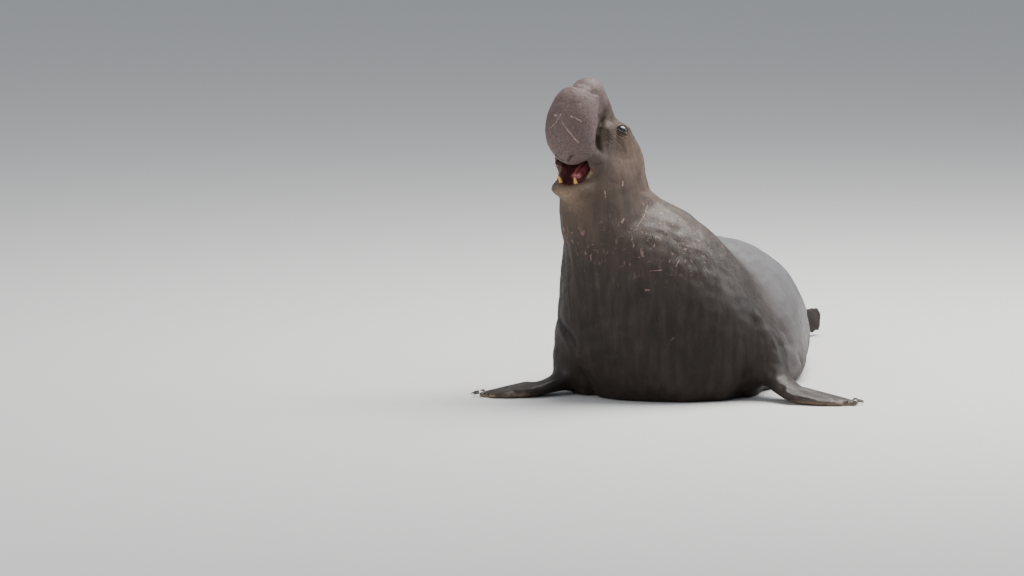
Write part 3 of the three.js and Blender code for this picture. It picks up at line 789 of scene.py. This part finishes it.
# Helpers for materials.
def maker(tree):
    def make(kind, values=None, **settings):
        node = tree.nodes.new(kind)
        for key, value in settings.items():
            setattr(node, key, value)
        for key, value in (values or {}).items():
            if isinstance(value, bpy.types.NodeSocket):
                tree.links.new(value, node.inputs[key])
            else:
                node.inputs[key].default_value = value
        return node
    return make


def colour(r, g, b):
    return (r, g, b, 1.0)


def newMaterial(name, **settings):
    material = bpy.data.materials.new(name)
    material.use_nodes = True
    make = maker(material.node_tree)
    shader = material.node_tree.nodes["Principled BSDF"]
    for key, value in settings.items():
        shader.inputs[key.replace("_", " ")].default_value = value
    return material, make, shader


def mixColour(make, share, one, other, blend="MIX"):
    return make("ShaderNodeMix", {0: share, 6: one, 7: other}, data_type="RGBA", blend_type=blend).outputs[2]


def mathOf(make, operation, one, other=0.0, clamp=False):
    return make("ShaderNodeMath", {0: one, 1: other}, operation=operation, use_clamp=clamp).outputs[0]


def rangeOf(make, value, low, high, newLow=0.0, newHigh=1.0):
    return make("ShaderNodeMapRange", {0: value, 1: low, 2: high, 3: newLow, 4: newHigh}).outputs[0]


def vectorOf(make, operation, one, other, result="Vector"):
    return make("ShaderNodeVectorMath", {0: one, 1: other}, operation=operation).outputs[result]


def scaledBy(make, vector, size):
    return make("ShaderNodeVectorMath", {0: vector, "Scale": size}, operation="SCALE").outputs[0]


def newGroup(name, inputs, outputs):
    group = bpy.data.node_groups.new(name, "ShaderNodeTree")
    for socketName, kind, value in inputs:
        socket = group.interface.new_socket(socketName, in_out="INPUT", socket_type=kind)
        socket.default_value = value
    for socketName, kind in outputs:
        group.interface.new_socket(socketName, in_out="OUTPUT", socket_type=kind)
    make = maker(group)
    return group, make, make("NodeGroupInput").outputs, make("NodeGroupOutput").inputs


# Grain: soft mottling at two sizes, stretched along one way.
grain, make, given, out = newGroup(
    "grain",
    [
        ("Scale", "NodeSocketFloat", 20.0),
        ("Stretch", "NodeSocketVector", (1, 1, 1)),
        ("Detail", "NodeSocketFloat", 3.0),
        ("Contrast", "NodeSocketFloat", 0.25),
    ],
    [("Value", "NodeSocketFloat")],
)
spotPlace = make("ShaderNodeTexCoord").outputs["Object"]
stretched = vectorOf(make, "MULTIPLY", spotPlace, given["Stretch"])
noise = make("ShaderNodeTexNoise", {"Vector": stretched, "Scale": given["Scale"], "Detail": given["Detail"]})
low = mathOf(make, "SUBTRACT", 0.5, given["Contrast"])
high = mathOf(make, "ADD", 0.5, given["Contrast"])
grain.links.new(rangeOf(make, noise.outputs["Fac"], low, high), out["Value"])

# Scratch: a healed line between two places, with soft uneven edges.
scratch, make, given, out = newGroup(
    "scratch",
    [
        ("From", "NodeSocketVector", (0, 0, 0)),
        ("To", "NodeSocketVector", (0, 0, 1)),
        ("Width", "NodeSocketFloat", 0.006),
    ],
    [("Mask", "NodeSocketFloat")],
)
spotPlace = make("ShaderNodeTexCoord").outputs["Object"]
wobble = make("ShaderNodeTexNoise", {"Vector": spotPlace, "Scale": 90.0, "Detail": 2.0}).outputs["Color"]
wobble = scaledBy(make, vectorOf(make, "SUBTRACT", wobble, (0.5, 0.5, 0.5)), 0.008)
spotPlace = vectorOf(make, "ADD", spotPlace, wobble)
away = vectorOf(make, "SUBTRACT", spotPlace, given["From"])
run = vectorOf(make, "SUBTRACT", given["To"], given["From"])
along = vectorOf(make, "DOT_PRODUCT", away, run, "Value")
square = vectorOf(make, "DOT_PRODUCT", run, run, "Value")
foot = scaledBy(make, run, mathOf(make, "DIVIDE", along, square, clamp=True))
gap = vectorOf(make, "DISTANCE", away, foot, "Value")
inner = mathOf(make, "MULTIPLY", given["Width"], 0.35)
scratch.links.new(rangeOf(make, gap, given["Width"], inner), out["Mask"])


# The coat: tones from chest to back with painted light on skin that faces up, warm cheeks, pale chin, scars,
# the lining of the mouth, and painted shade in creases, beside the nose, in the nostrils, the ear pits and
# deep in the mouth.
coatLook = {
    "chest": colour(0.0160, 0.0112, 0.0085),
    "neck": colour(0.062, 0.047, 0.040),
    "back": colour(0.165, 0.160, 0.167),
    "tan": colour(0.165, 0.104, 0.068),
    "pale": colour(0.370, 0.262, 0.170),
    "scar": colour(0.450, 0.275, 0.235),
    "pink": colour(0.205, 0.142, 0.138),
    "lining": colour(0.085, 0.024, 0.024),
    "dark": colour(0.005, 0.004, 0.004),
    "scratchWide": 0.72,  # share of the widths listed next
    "pebbleScale": 95.0,
    "bumpDepth": 0.0016,
}
scratchLines = [
    # picture places and width
    ((561, 114), (556, 122), 0.0060),
    ((556, 122), (551, 128), 0.0050),
    ((554, 115), (557, 115.5), 0.0080),
    ((570.5, 116), (582, 121.5), 0.0065),
    ((562.5, 123), (570, 133), 0.0065),
    ((570, 133), (578.6, 143), 0.0085),
    ((580, 103), (581, 108), 0.0040),
    ((648, 205), (643, 218), 0.0050),
    ((643, 218), (634, 231), 0.0045),
    ((623, 182), (623, 185), 0.0110),
    ((622, 222), (624, 219), 0.0100),
    ((605, 191), (605.5, 197), 0.0060),
    ((654, 247), (656, 236), 0.0050),
    ((656, 236), (662, 240), 0.0040),
    ((681, 249.5), (711, 245), 0.0045),
    ((650, 271), (662, 270), 0.0040),
    ((676, 266), (680, 259), 0.0040),
    ((670, 340), (677, 337), 0.0050),
    ((722, 352), (729, 346), 0.0050),
    ((711, 363), (716, 362), 0.0060),
    ((646, 290), (649, 290), 0.0090),
]


def coatMaterial(name):
    material, make, shader = newMaterial(name, Specular_IOR_Level=0.22, Coat_Roughness=0.32)
    tree = material.node_tree
    mark = {n: make("ShaderNodeAttribute", attribute_name=n).outputs["Fac"] for n in markNames + ("creaseShade",)}

    def grainOf(scale, stretch=(1, 1, 1), contrast=0.25, detail=3.0):
        values = {"Scale": scale, "Stretch": stretch, "Contrast": contrast, "Detail": detail}
        return make("ShaderNodeGroup", values, node_tree=grain).outputs["Value"]

    downHair = grainOf(150, (1, 1, 0.16), 0.3)
    alongHair = grainOf(150, (1, 0.16, 1), 0.3)
    hair = make("ShaderNodeMix", {0: mark["lie"], 2: downHair, 3: alongHair}).outputs[0]
    downStreak = grainOf(26, (1, 1, 0.22), 0.16)
    alongStreak = grainOf(22, (1, 0.25, 1), 0.16)
    streak = make("ShaderNodeMix", {0: mark["lie"], 2: downStreak, 3: alongStreak}).outputs[0]
    cloud = grainOf(5.5, contrast=0.22, detail=4.0)
    fine = grainOf(70, contrast=0.22)

    tone = mathOf(make, "ADD", mark["tone"], rangeOf(make, streak, 0, 1, -0.08, 0.08))
    tone = mathOf(make, "ADD", tone, rangeOf(make, cloud, 0, 1, -0.10, 0.10), clamp=True)
    base = mixColour(make, rangeOf(make, tone, 0.0, 0.55), coatLook["chest"], coatLook["neck"])
    # the back's grey follows the tone, so it is partly painted light on skin that faces up
    greyed = mathOf(make, "MULTIPLY", rangeOf(make, mark["tone"], 0.25, 1.0), mark["lie"])
    greyed = mathOf(make, "MULTIPLY", greyed, rangeOf(make, streak, 0, 1, 0.72, 1.0))
    base = mixColour(make, greyed, base, coatLook["back"])
    warm = mathOf(make, "MULTIPLY", mark["tan"], rangeOf(make, streak, 0, 1, 0.35, 1.15), clamp=True)
    base = mixColour(make, warm, base, coatLook["tan"])
    rosy = mathOf(make, "MULTIPLY", mark["bulb"], rangeOf(make, fine, 0.1, 1.0, 0.32, 0.68))
    base = mixColour(make, rosy, base, coatLook["pink"])
    light = mathOf(make, "MULTIPLY", mark["pale"], rangeOf(make, fine, 0, 1, 0.35, 1.0), clamp=True)
    base = mixColour(make, light, base, coatLook["pale"])
    base = mixColour(make, rangeOf(make, hair, 0, 1, 0.0, 0.22), base, coatLook["chest"])

    # old bites: short pale flecks where rivals strike, and a few long lines
    fleck = rangeOf(make, grainOf(62, (1.0, 1.0, 0.40), 0.5, 1.5), 0.63, 0.71)
    slant = rangeOf(make, grainOf(48, (0.40, 1.0, 1.3), 0.5, 1.5), 0.66, 0.74)
    flecks = mathOf(make, "MAXIMUM", fleck, slant)
    flecks = mathOf(make, "MULTIPLY", flecks, mark["scarred"])
    flecks = mathOf(make, "MULTIPLY", flecks, rangeOf(make, cloud, 0.25, 0.8, 0.08, 0.60))
    lines = None
    for start, end, width in scratchLines:
        a, b = onSkin(start), onSkin(end)
        if a is None or b is None:
            continue
        node = make("ShaderNodeGroup", node_tree=scratch)
        node.inputs["From"].default_value = tuple(a)
        node.inputs["To"].default_value = tuple(b)
        node.inputs["Width"].default_value = width * coatLook["scratchWide"]
        line = node.outputs["Mask"]
        lines = line if lines is None else mathOf(make, "MAXIMUM", lines, line)
    broken = rangeOf(make, grainOf(110, contrast=0.14), 0, 1, 0.25, 0.95)
    lines = mathOf(make, "MULTIPLY", lines, broken)
    scars = mathOf(make, "MAXIMUM", flecks, lines)
    base = mixColour(make, scars, base, coatLook["scar"])

    # painted shade: the skin goes darker in creases and hollows
    shade = mathOf(make, "MULTIPLY", mark["creaseShade"], 0.55)
    base = mixColour(make, shade, base, coatLook["chest"])
    lining = mixColour(make, rangeOf(make, fine, 0, 1, 0.0, 0.55), coatLook["lining"], coatLook["neck"])
    # painted shade: the lining goes black deep in the mouth
    lining = mixColour(make, mark["deep"], lining, coatLook["dark"])
    base = mixColour(make, mark["flesh"], base, lining)
    # dark lid margins and eye corners, with painted shade in the nose crease, the nostrils and the ear pits
    base = mixColour(make, mark["rim"], base, coatLook["dark"])
    tree.links.new(base, shader.inputs["Base Color"])

    dry = rangeOf(make, cloud, 0, 1, 0.58, 0.74)
    wet = rangeOf(make, streak, 0, 1, 0.30, 0.44)
    rough = make("ShaderNodeMix", {0: mark["damp"], 2: dry, 3: wet}).outputs[0]
    rough = make("ShaderNodeMix", {0: mark["bulb"], 2: rough, 3: 0.58}).outputs[0]
    rough = make("ShaderNodeMix", {0: mark["flesh"], 2: rough, 3: 0.22}).outputs[0]
    tree.links.new(rough, shader.inputs["Roughness"])
    sheen = mathOf(make, "MULTIPLY", mark["damp"], rangeOf(make, streak, 0, 1, 0.30, 0.60))
    tree.links.new(sheen, shader.inputs["Coat Weight"])

    pebble = make("ShaderNodeTexVoronoi", {"Scale": coatLook["pebbleScale"]}, feature="SMOOTH_F1")
    tree.links.new(make("ShaderNodeTexCoord").outputs["Object"], pebble.inputs["Vector"])
    rugged = mathOf(make, "ADD", mark["bulb"], mark["scarred"])
    pebbled = mathOf(make, "MULTIPLY", pebble.outputs["Distance"], rugged)
    height = mathOf(make, "MULTIPLY", hair, 0.30)
    height = mathOf(make, "ADD", height, mathOf(make, "MULTIPLY", streak, 0.45))
    height = mathOf(make, "ADD", height, mathOf(make, "MULTIPLY", pebbled, 0.6))
    height = mathOf(make, "SUBTRACT", height, mathOf(make, "MULTIPLY", scars, 0.8))
    bump = make("ShaderNodeBump", {"Height": height, "Strength": 0.7, "Distance": coatLook["bumpDepth"]})
    tree.links.new(bump.outputs[0], shader.inputs["Normal"])
    return material


sealCoat = coatMaterial("sealCoat")
skin.data.materials.append(sealCoat)
print("stage: coat material")

# Tufts of short coat lie flat over the skin. Each is a closed sliver of ten triangles.
coat = {
    "tufts": {"Head": 15000, "Neck": 17000, "Trunk": 19000, "Flippers": 12000},
    "long": {"Head": 0.0085, "Neck": 0.017, "Trunk": 0.018, "Flippers": 0.012},
    "wide": 0.16,  # share of the length
    "thick": 0.00028,
    "bedded": 0.0006,
    "risen": 0.0003,
    "patch": 0.003,  # of the map, for one tuft
    "turn": 0.16,
    "floor": 0.0008,
    "bareFloor": 0.012,  # no tuft grows lower
    "bareTongue": 0.10,  # or this near the tongue, or a tooth or claw
    "bareHorn": 0.034,
    "toneSpread": 0.04,
    "noseShare": 0.6,  # of the length, on the nose
}
tuftMap = [(-0.5, -0.5), (0.5, -0.5), (0.0, -0.3), (-0.4, 0.1), (0.4, 0.1), (0.0, 0.2), (0.0, 0.5)]


def coatFlow(places, normals):
    # the coat runs back from the nose, down the neck, back along the trunk and out along the flippers
    onHead = (1 - smoothStep(headDistance(faceSpace(places)), 0.30, 0.55))[:, None]
    behind = smoothStep(places[:, 1], -0.05, 0.45)[:, None]
    flow = np.array((0.0, 0.25, -1.0)) * (1 - behind) + np.array((0.0, 1.0, -0.12)) * behind
    flow = flow * (1 - onHead) - skullForward * onHead
    bulb = (1 - smoothStep(tubeSpace(places, noseTube)[0], 1.05, 1.3))[:, None]
    flow = flow * (1 - bulb) - upAxis * bulb
    fin = onFin(places)[:, None] * (places[:, 1] < 0.4)[:, None]
    outTo = np.sign(places[:, :1]) * np.array((1.0, 0.0, 0.0)) + np.array((0.0, -0.35, -0.05))
    flow = flow * (1 - fin) + outTo * fin
    flow -= normals * np.einsum("ij,ij->i", flow, normals)[:, None]
    return unit(flow)


def onFin(places):
    x, y, z = places.T
    fore = smoothStep(np.abs(x), 0.58, 0.66) * (y < 0.2) * (z < 0.3)
    return np.maximum(fore, smoothStep(y, 2.12, 2.22))


def regionOf(places):
    # 0 head, 1 neck and chest, 2 trunk, 3 flippers
    region = np.where(places[:, 1] > 0.33, 2, 1)
    region = np.where(headDistance(faceSpace(places)) < 0.40, 0, region)
    return np.where(onFin(places) > 0.5, 3, region)


def unwrapOf(places, name):
    # round and along the part's own middle line, each flipper in its own corner of the map
    if name == "Flippers":
        fore = places[:, 1] < 1.0
        middle = np.where(fore[:, None], (0.80, -0.34, 0.03), (0.21, 2.40, 0.09))
        middle[:, 0] *= np.sign(places[:, 0])
        away = places - middle
        along = np.where(fore, np.abs(places[:, 0]) - 0.55, places[:, 1] - 2.10) / 0.60
        turn = np.arctan2(away[:, 2], np.where(fore, away[:, 1], away[:, 0])) / (2 * math.pi) + 0.5
        spots = np.stack([turn, np.clip(along, 0, 1)], axis=1) * 0.46 + 0.02
        spots[:, 0] += np.where(places[:, 0] > 0, 0.5, 0.0)
        spots[:, 1] += np.where(fore, 0.0, 0.5)
        return spots
    lines = {
        "Head": (facePlace(-0.30, 0, -0.42), facePlace(0.34, 0, 0.16)),
        "Neck": (np.array((0.0, 0.0, -0.1)), facePlace(-0.05, 0, -0.20)),
        "Trunk": (np.array((0.0, 0.25, 0.15)), np.array((0.0, 2.35, 0.10))),
    }
    start, end = lines[name]
    run = unit(end - start)
    away = places - start
    along = np.clip(away @ run / np.linalg.norm(end - start), -0.1, 1.1) / 1.3 + 0.12
    sideways = unit(np.cross(run, upAxis if name == "Trunk" else np.array((0.0, 1.0, 0.0))))
    over = np.cross(sideways, run)
    turn = np.arctan2(away @ sideways, away @ over) / (2 * math.pi) + 0.5
    return np.stack([turn * 0.98 + 0.01, along], axis=1)


def skinTriangles(piece):
    mesh = piece.data
    mesh.calc_loop_triangles()
    corners = np.empty(len(mesh.loop_triangles) * 3, dtype=np.int64)
    mesh.loop_triangles.foreach_get("vertices", corners)
    return corners.reshape(-1, 3)


skinTree = BVHTree.FromObject(skin, context.evaluated_depsgraph_get())


def onSkinMesh(places):
    return np.array([skinTree.find_nearest(Vector(place))[0] for place in places])


def makeTufts(name, roots, normals, lengths, chance):
    # root ring, middle ring and tip
    flow = coatFlow(roots, normals)
    across = np.cross(normals, flow)
    swing = chance.normal(0, coat["turn"], len(roots))[:, None]
    flow = unit(flow + across * swing)
    across = np.cross(normals, flow)
    half = (lengths * coat["wide"] / 2)[:, None]
    long = lengths[:, None]
    rings = []
    for share, width, rise in ((0.0, 0.75, -coat["bedded"]), (0.45, 1.0, coat["risen"])):
        middle = onSkinMesh(roots + flow * long * share) + normals * rise
        reach = across * half * width
        rings += [middle - reach, middle + reach, middle + normals * coat["thick"]]
    rings.append(onSkinMesh(roots + flow * long) + normals * coat["risen"])
    count = len(roots)
    places = np.stack(rings, axis=1).reshape(-1, 3)
    places[:, 2] = np.maximum(places[:, 2], coat["floor"])
    faces = [(2, 1, 0)]
    for a, b in ((0, 1), (1, 2), (2, 0)):
        faces += [(a, b + 3, a + 3), (a, b, b + 3), (a + 3, b + 3, 6)]
    faces = np.array(faces)
    corners = (np.arange(count)[:, None, None] * 7 + faces[None]).reshape(-1, 3)
    mesh = bpy.data.meshes.new("coat" + name)
    mesh.vertices.add(len(places))
    mesh.vertices.foreach_set("co", places.ravel())
    mesh.loops.add(corners.size)
    mesh.loops.foreach_set("vertex_index", corners.ravel())
    mesh.polygons.add(len(corners))
    mesh.polygons.foreach_set("loop_start", np.arange(len(corners)) * 3)
    mesh.polygons.foreach_set("use_smooth", np.zeros(len(corners), dtype=bool))
    mesh.update(calc_edges=True)
    piece = bpy.data.objects.new("coat" + name, mesh)
    context.scene.collection.objects.link(piece)
    # one small patch of the map for each tuft, at its root's place
    spots = unwrapOf(roots, name)[:, None] + np.array(tuftMap)[None] * coat["patch"]
    layer = mesh.uv_layers.new(name="OFBake")
    layer.data.foreach_set("uv", spots.reshape(-1, 2)[corners.ravel()].ravel())
    marks = markings(roots, normals)
    marks["tone"] = np.clip(marks["tone"] + chance.normal(0, coat["toneSpread"], count), 0, 1)
    writeMarks(piece, {key: np.repeat(values, 7) for key, values in marks.items()})
    piece.data.materials.append(sealCoat)
    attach(piece, "root")


triangles = skinTriangles(skin)
one, two, three = (skinPlaces[triangles[:, k]] for k in range(3))
areas = np.linalg.norm(np.cross(two - one, three - one), axis=1) / 2
middles = (one + two + three) / 3
facesOut = unit(skinNormals[triangles].sum(axis=1))
faceMarks = markings(middles, facesOut)
bare = (faceMarks["flesh"] > 0.25) | (middles[:, 2] < coat["bareFloor"])
for side in eyeFrames:
    gap, _, size = lidGap(middles, side)
    bare |= (size < 0.09) & (gap < 0.008)
for name in fillNames:
    if not name.startswith("eye"):
        reach = coat["bareTongue"] if name == "tongue" else coat["bareHorn"]
        bare |= np.linalg.norm(middles - boxMiddle(name), axis=1) < reach
regions = regionOf(middles)
for number, (name, count) in enumerate(coat["tufts"].items()):
    chance = np.random.default_rng(40 + number)
    weight = areas * (regions == number) * ~bare
    picked = chance.choice(len(triangles), count, p=weight / weight.sum())
    share = chance.dirichlet((1, 1, 1), count)
    roots = sum(share[:, k, None] * skinPlaces[triangles[picked, k]] for k in range(3))
    normals = unit(sum(share[:, k, None] * skinNormals[triangles[picked, k]] for k in range(3)))
    lengths = coat["long"][name] * chance.uniform(0.7, 1.25, count)
    lengths *= np.where(faceMarks["bulb"][picked] > 0.5, coat["noseShare"], 1)
    makeTufts(name, roots, normals, lengths, chance)
print("stage: coat tufts")

# Whiskers: stiff, bent and tapering, in rows beside the mouth, with a few bristles over each eye.
whiskers = {
    "rows": 4,
    "columns": 6,
    "forward": (0.085, 0.172),
    "up": (-0.070, 0.010),
    "long": (0.110, 0.035),
    "radius": 0.0011,
    "sides": 5,
    "steps": 7,
    "droop": 0.35,
    "spread": 0.10,
    "bedded": 0.006,
    "brow": ((-0.004, 0.030), (0.014, 0.036), (0.030, 0.038)),
    "browLong": 0.040,
    "castFrom": 0.45,  # beside the head
    "colour": colour(0.105, 0.078, 0.055),
}
whiskerMaterial, make, shader = newMaterial("whiskerHorn", Roughness=0.35)
shader.inputs["Base Color"].default_value = whiskers["colour"]


def between(pair, share):
    return pair[0] + (pair[1] - pair[0]) * share


def whiskerTube(root, way, long):
    sides, steps = whiskers["sides"], whiskers["steps"]
    across = unit(np.cross(way, upAxis + 0.01))
    places, faces = [], []
    for step in range(steps):
        t = step / steps
        centre = root + way * (long * t) - upAxis * (long * whiskers["droop"] * t * t)
        over = np.cross(across, way)
        for k in range(sides):
            turn = 2 * math.pi * k / sides
            ring = across * math.cos(turn) + over * math.sin(turn)
            places.append(centre + ring * whiskers["radius"] * (1 - 0.8 * t))
    places.append(root + way * long - upAxis * (long * whiskers["droop"]))
    for k in range(sides):
        n = (k + 1) % sides
        for step in range(steps - 1):
            a, b = step * sides + k, step * sides + n
            faces.append((a, b, b + sides, a + sides))
        faces.append(((steps - 1) * sides + k, (steps - 1) * sides + n, steps * sides))
    faces.append(tuple(reversed(range(sides))))
    return places, faces


chance = np.random.default_rng(51)
places, faces = [], []
for sign in (1, -1):
    roots = []
    for row in range(whiskers["rows"]):
        for column in range(whiskers["columns"]):
            u = row / (whiskers["rows"] - 1)
            v = (column + 0.5 * (row % 2)) / (whiskers["columns"] - 0.5)
            long = between(whiskers["long"], 0.7 * v + 0.3 * u)
            roots.append((between(whiskers["forward"], v), between(whiskers["up"], u), long))
    for forward, up in whiskers["brow"]:
        roots.append((forward, up, whiskers["browLong"]))
    for forward, up, long in roots:
        start = Vector(facePlace(forward, sign * whiskers["castFrom"], up))
        hit, normal = solidRay.ray_cast(start, Vector(leftAxis * -sign))[:2]
        if hit is None:
            continue
        normal = np.array(normal)
        way = normal + leftAxis * sign * 0.5 - upAxis * 0.35 + chance.normal(0, whiskers["spread"], 3)
        root = np.array(hit) - normal * whiskers["bedded"]
        tubePlaces, tubeFaces = whiskerTube(root, unit(way), long)
        faces += [tuple(len(places) + n for n in face) for face in tubeFaces]
        places += [tuple(place) for place in tubePlaces]
mesh = bpy.data.meshes.new("whiskers")
mesh.from_pydata(places, [], faces)
mesh.update()
whiskerPiece = bpy.data.objects.new("whiskers", mesh)
context.scene.collection.objects.link(whiskerPiece)
pickOnly(whiskerPiece)
bpy.ops.object.shade_smooth()
mesh.materials.append(whiskerMaterial)
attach(whiskerPiece, "root")
print("stage: whiskers")


# A wet, very dark eye with a bulging cornea.
eyeLook = {
    "segments": 56,
    "rings": 36,
    "corneaOut": 0.0022,
    "corneaReach": 0.62,
    "pupil": colour(0.002, 0.002, 0.003),
    "iris": (colour(0.020, 0.013, 0.009), colour(0.050, 0.034, 0.022)),
    "ring": colour(0.012, 0.010, 0.010),
    "white": colour(0.110, 0.060, 0.050),
    "finish": {"Roughness": 0.06, "Coat_Roughness": 0.02, "Specular_IOR_Level": 0.6},
}
eyeMaterial, make, shader = newMaterial("eyeWet", **eyeLook["finish"])
aside = make("ShaderNodeAttribute", attribute_name="aside").outputs["Fac"]
spokes = make("ShaderNodeTexNoise", {"Scale": 160.0, "Detail": 3.0})
eyeMaterial.node_tree.links.new(make("ShaderNodeTexCoord").outputs["Object"], spokes.inputs["Vector"])
irisColour = mixColour(make, spokes.outputs["Fac"], *eyeLook["iris"])
eyeColour = mixColour(make, rangeOf(make, aside, 0.20, 0.24), eyeLook["pupil"], irisColour)
eyeColour = mixColour(make, rangeOf(make, aside, 0.52, 0.62), eyeColour, eyeLook["ring"])
eyeColour = mixColour(make, rangeOf(make, aside, 0.80, 0.95), eyeColour, eyeLook["white"])
eyeMaterial.node_tree.links.new(eyeColour, shader.inputs["Base Color"])
for side in eyeFrames:
    middle, outward, longWay = eyeFrames[side][:3]
    radius = head["eyeRadius"]
    bpy.ops.object.select_all(action="DESELECT")
    bpy.ops.mesh.primitive_uv_sphere_add(
        segments=eyeLook["segments"],
        ring_count=eyeLook["rings"],
        radius=radius,
    )
    ball = context.active_object
    ball.name = "eye" + side.capitalize()
    local = readPlaces(ball)
    flat = np.linalg.norm(local[:, :2], axis=1) / radius
    aside = np.where(local[:, 2] > 0, flat, 2 - flat)
    local[:, 2] += eyeLook["corneaOut"] * (1 - smoothStep(aside, 0.0, eyeLook["corneaReach"]))
    turned = np.outer(local[:, 0], longWay) + np.outer(local[:, 1], np.cross(outward, longWay))
    turned += np.outer(local[:, 2], outward)
    writePlaces(ball, turned + middle)
    layer = ball.data.attributes.new("aside", "FLOAT", "POINT")
    layer.data.foreach_set("value", aside.astype(np.float32))
    pickOnly(ball)
    bpy.ops.object.shade_smooth()
    ball.data.materials.append(eyeMaterial)
    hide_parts("eye_" + side)
    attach(ball, "root")
print("stage: eyes")


# Teeth and claws are the solids' own shapes, rounded, and their colour and bump follow one grain.
horn = {
    # darker and lighter colour, grain scale and stretch, bump depth
    "tooth": (colour(0.46, 0.20, 0.025), colour(0.85, 0.47, 0.085), 60, (1, 1, 0.3), 0.0006),
    "claw": (colour(0.020, 0.015, 0.012), colour(0.070, 0.055, 0.044), 120, (1, 1, 1), 0.0006),
    "toothSwell": 0.0014,
    "clawSwell": 0.0008,
    "levels": 3,
}


def hornPiece(nodeName, pieceName, swell, material):
    piece = copyOf([nodeName], pieceName)
    applyModifier(piece, "DISPLACE", strength=swell, mid_level=0.0)
    applyModifier(piece, "SUBSURF", levels=horn["levels"], render_levels=horn["levels"])
    pickOnly(piece)
    bpy.ops.object.shade_smooth()
    piece.data.materials.append(material)
    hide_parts(nodeName)
    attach(piece, "root")


def grainedMaterial(name, look, **settings):
    low, high, scale, stretch, depth = look
    material, make, shader = newMaterial(name, **settings)
    values = {"Scale": scale, "Stretch": stretch}
    value = make("ShaderNodeGroup", values, node_tree=grain).outputs["Value"]
    material.node_tree.links.new(mixColour(make, value, low, high), shader.inputs["Base Color"])
    bump = make("ShaderNodeBump", {"Height": value, "Strength": 0.5, "Distance": depth})
    material.node_tree.links.new(bump.outputs[0], shader.inputs["Normal"])
    return material


toothMaterial = grainedMaterial("toothIvory", horn["tooth"], Roughness=0.24, Subsurface_Weight=0.15)
clawMaterial = grainedMaterial("clawHorn", horn["claw"], Roughness=0.32)
for side in ("left", "right"):
    piece = "canine" + side.capitalize()
    hornPiece("canine_" + side, piece, horn["toothSwell"], toothMaterial)
    for digit in range(1, 6):
        piece = f"claw{side.capitalize()}{digit}"
        hornPiece(f"claw_{side}_{digit}", piece, horn["clawSwell"], clawMaterial)
print("stage: teeth and claws")

# The tongue: a groove down its middle and a pimpled, wet top.
tongueMake = {
    "look": (colour(0.200, 0.045, 0.052), colour(0.400, 0.115, 0.120), 45, (1, 1, 1), 0.0012),
    "voxel": 0.004,
    "rounds": 16,
    "grooveWide": 0.006,
    "groove": 0.004,
    "pimple": 0.0004,
    "pimpleWave": 0.008,
    "swell": 0.0012,
}
tongueMaterial = grainedMaterial("tongueWet", tongueMake["look"], Roughness=0.22, Subsurface_Weight=0.1)
tongue = copyOf(["tongue"], "tongueFlesh")
applyModifier(tongue, "REMESH", mode="VOXEL", voxel_size=tongueMake["voxel"], use_smooth_shade=True)
applyModifier(tongue, "SMOOTH", factor=0.5, iterations=tongueMake["rounds"])
places = readPlaces(tongue)
normals = readNormals(tongue)
seen = faceSpace(places)
groove = bell(seen[:, 1], tongueMake["grooveWide"]) * smoothStep(normals[:, 2], 0.1, 0.6)
pimple = randomField(places, tongueMake["pimpleWave"], 31) * tongueMake["pimple"]
places += normals * (tongueMake["swell"] + pimple - tongueMake["groove"] * groove)[:, None]
writePlaces(tongue, places)
tongue.data.materials.append(tongueMaterial)
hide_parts("tongue")
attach(tongue, "root")
print("stage: tongue")


# A plain pale floor, and soft light from a wide panel overhead and two beside the camera's sight.
studio = {
    "floor": colour(0.62, 0.61, 0.60),
    "sky": colour(0.86, 0.92, 1.0),
    "skyStrength": 0.50,
    "floorHalf": 90.0,
    "aim": (0, 0.6, 0.7),
}
bpy.ops.object.select_all(action="DESELECT")
bpy.ops.mesh.primitive_plane_add(size=2 * studio["floorHalf"])
floor = context.active_object
floor.name = "floor"
floorMaterial, make, shader = newMaterial("floorPale", Roughness=0.8)
shader.inputs["Base Color"].default_value = studio["floor"]
floor.data.materials.append(floorMaterial)

world = bpy.data.worlds.new("studio")
context.scene.world = world
world.use_nodes = True
world.node_tree.nodes["Background"].inputs["Color"].default_value = studio["sky"]
world.node_tree.nodes["Background"].inputs["Strength"].default_value = studio["skyStrength"]
panels = [
    # name, place, size, power, colour
    ("overhead", (2.0, 2.4, 8.0), 7.0, 1800, (1.0, 0.98, 0.95)),
    ("side", (9.0, 4.0, 5.0), 6.0, 420, (0.92, 0.96, 1.0)),
    ("front", (-7.0, -9.0, 4.0), 8.0, 500, (1.0, 0.98, 0.96)),
]
for name, place, size, power, tint in panels:
    lamp = bpy.data.lights.new(name, "AREA")
    lamp.shape = "DISK"
    lamp.size = size
    lamp.energy = power
    lamp.color = tint
    panel = bpy.data.objects.new(name, lamp)
    panel.location = place
    panel.rotation_mode = "QUATERNION"
    panel.rotation_quaternion = (Vector(studio["aim"]) - panel.location).to_track_quat("-Z", "Y")
    context.scene.collection.objects.link(panel)
print("stage: floor and light")
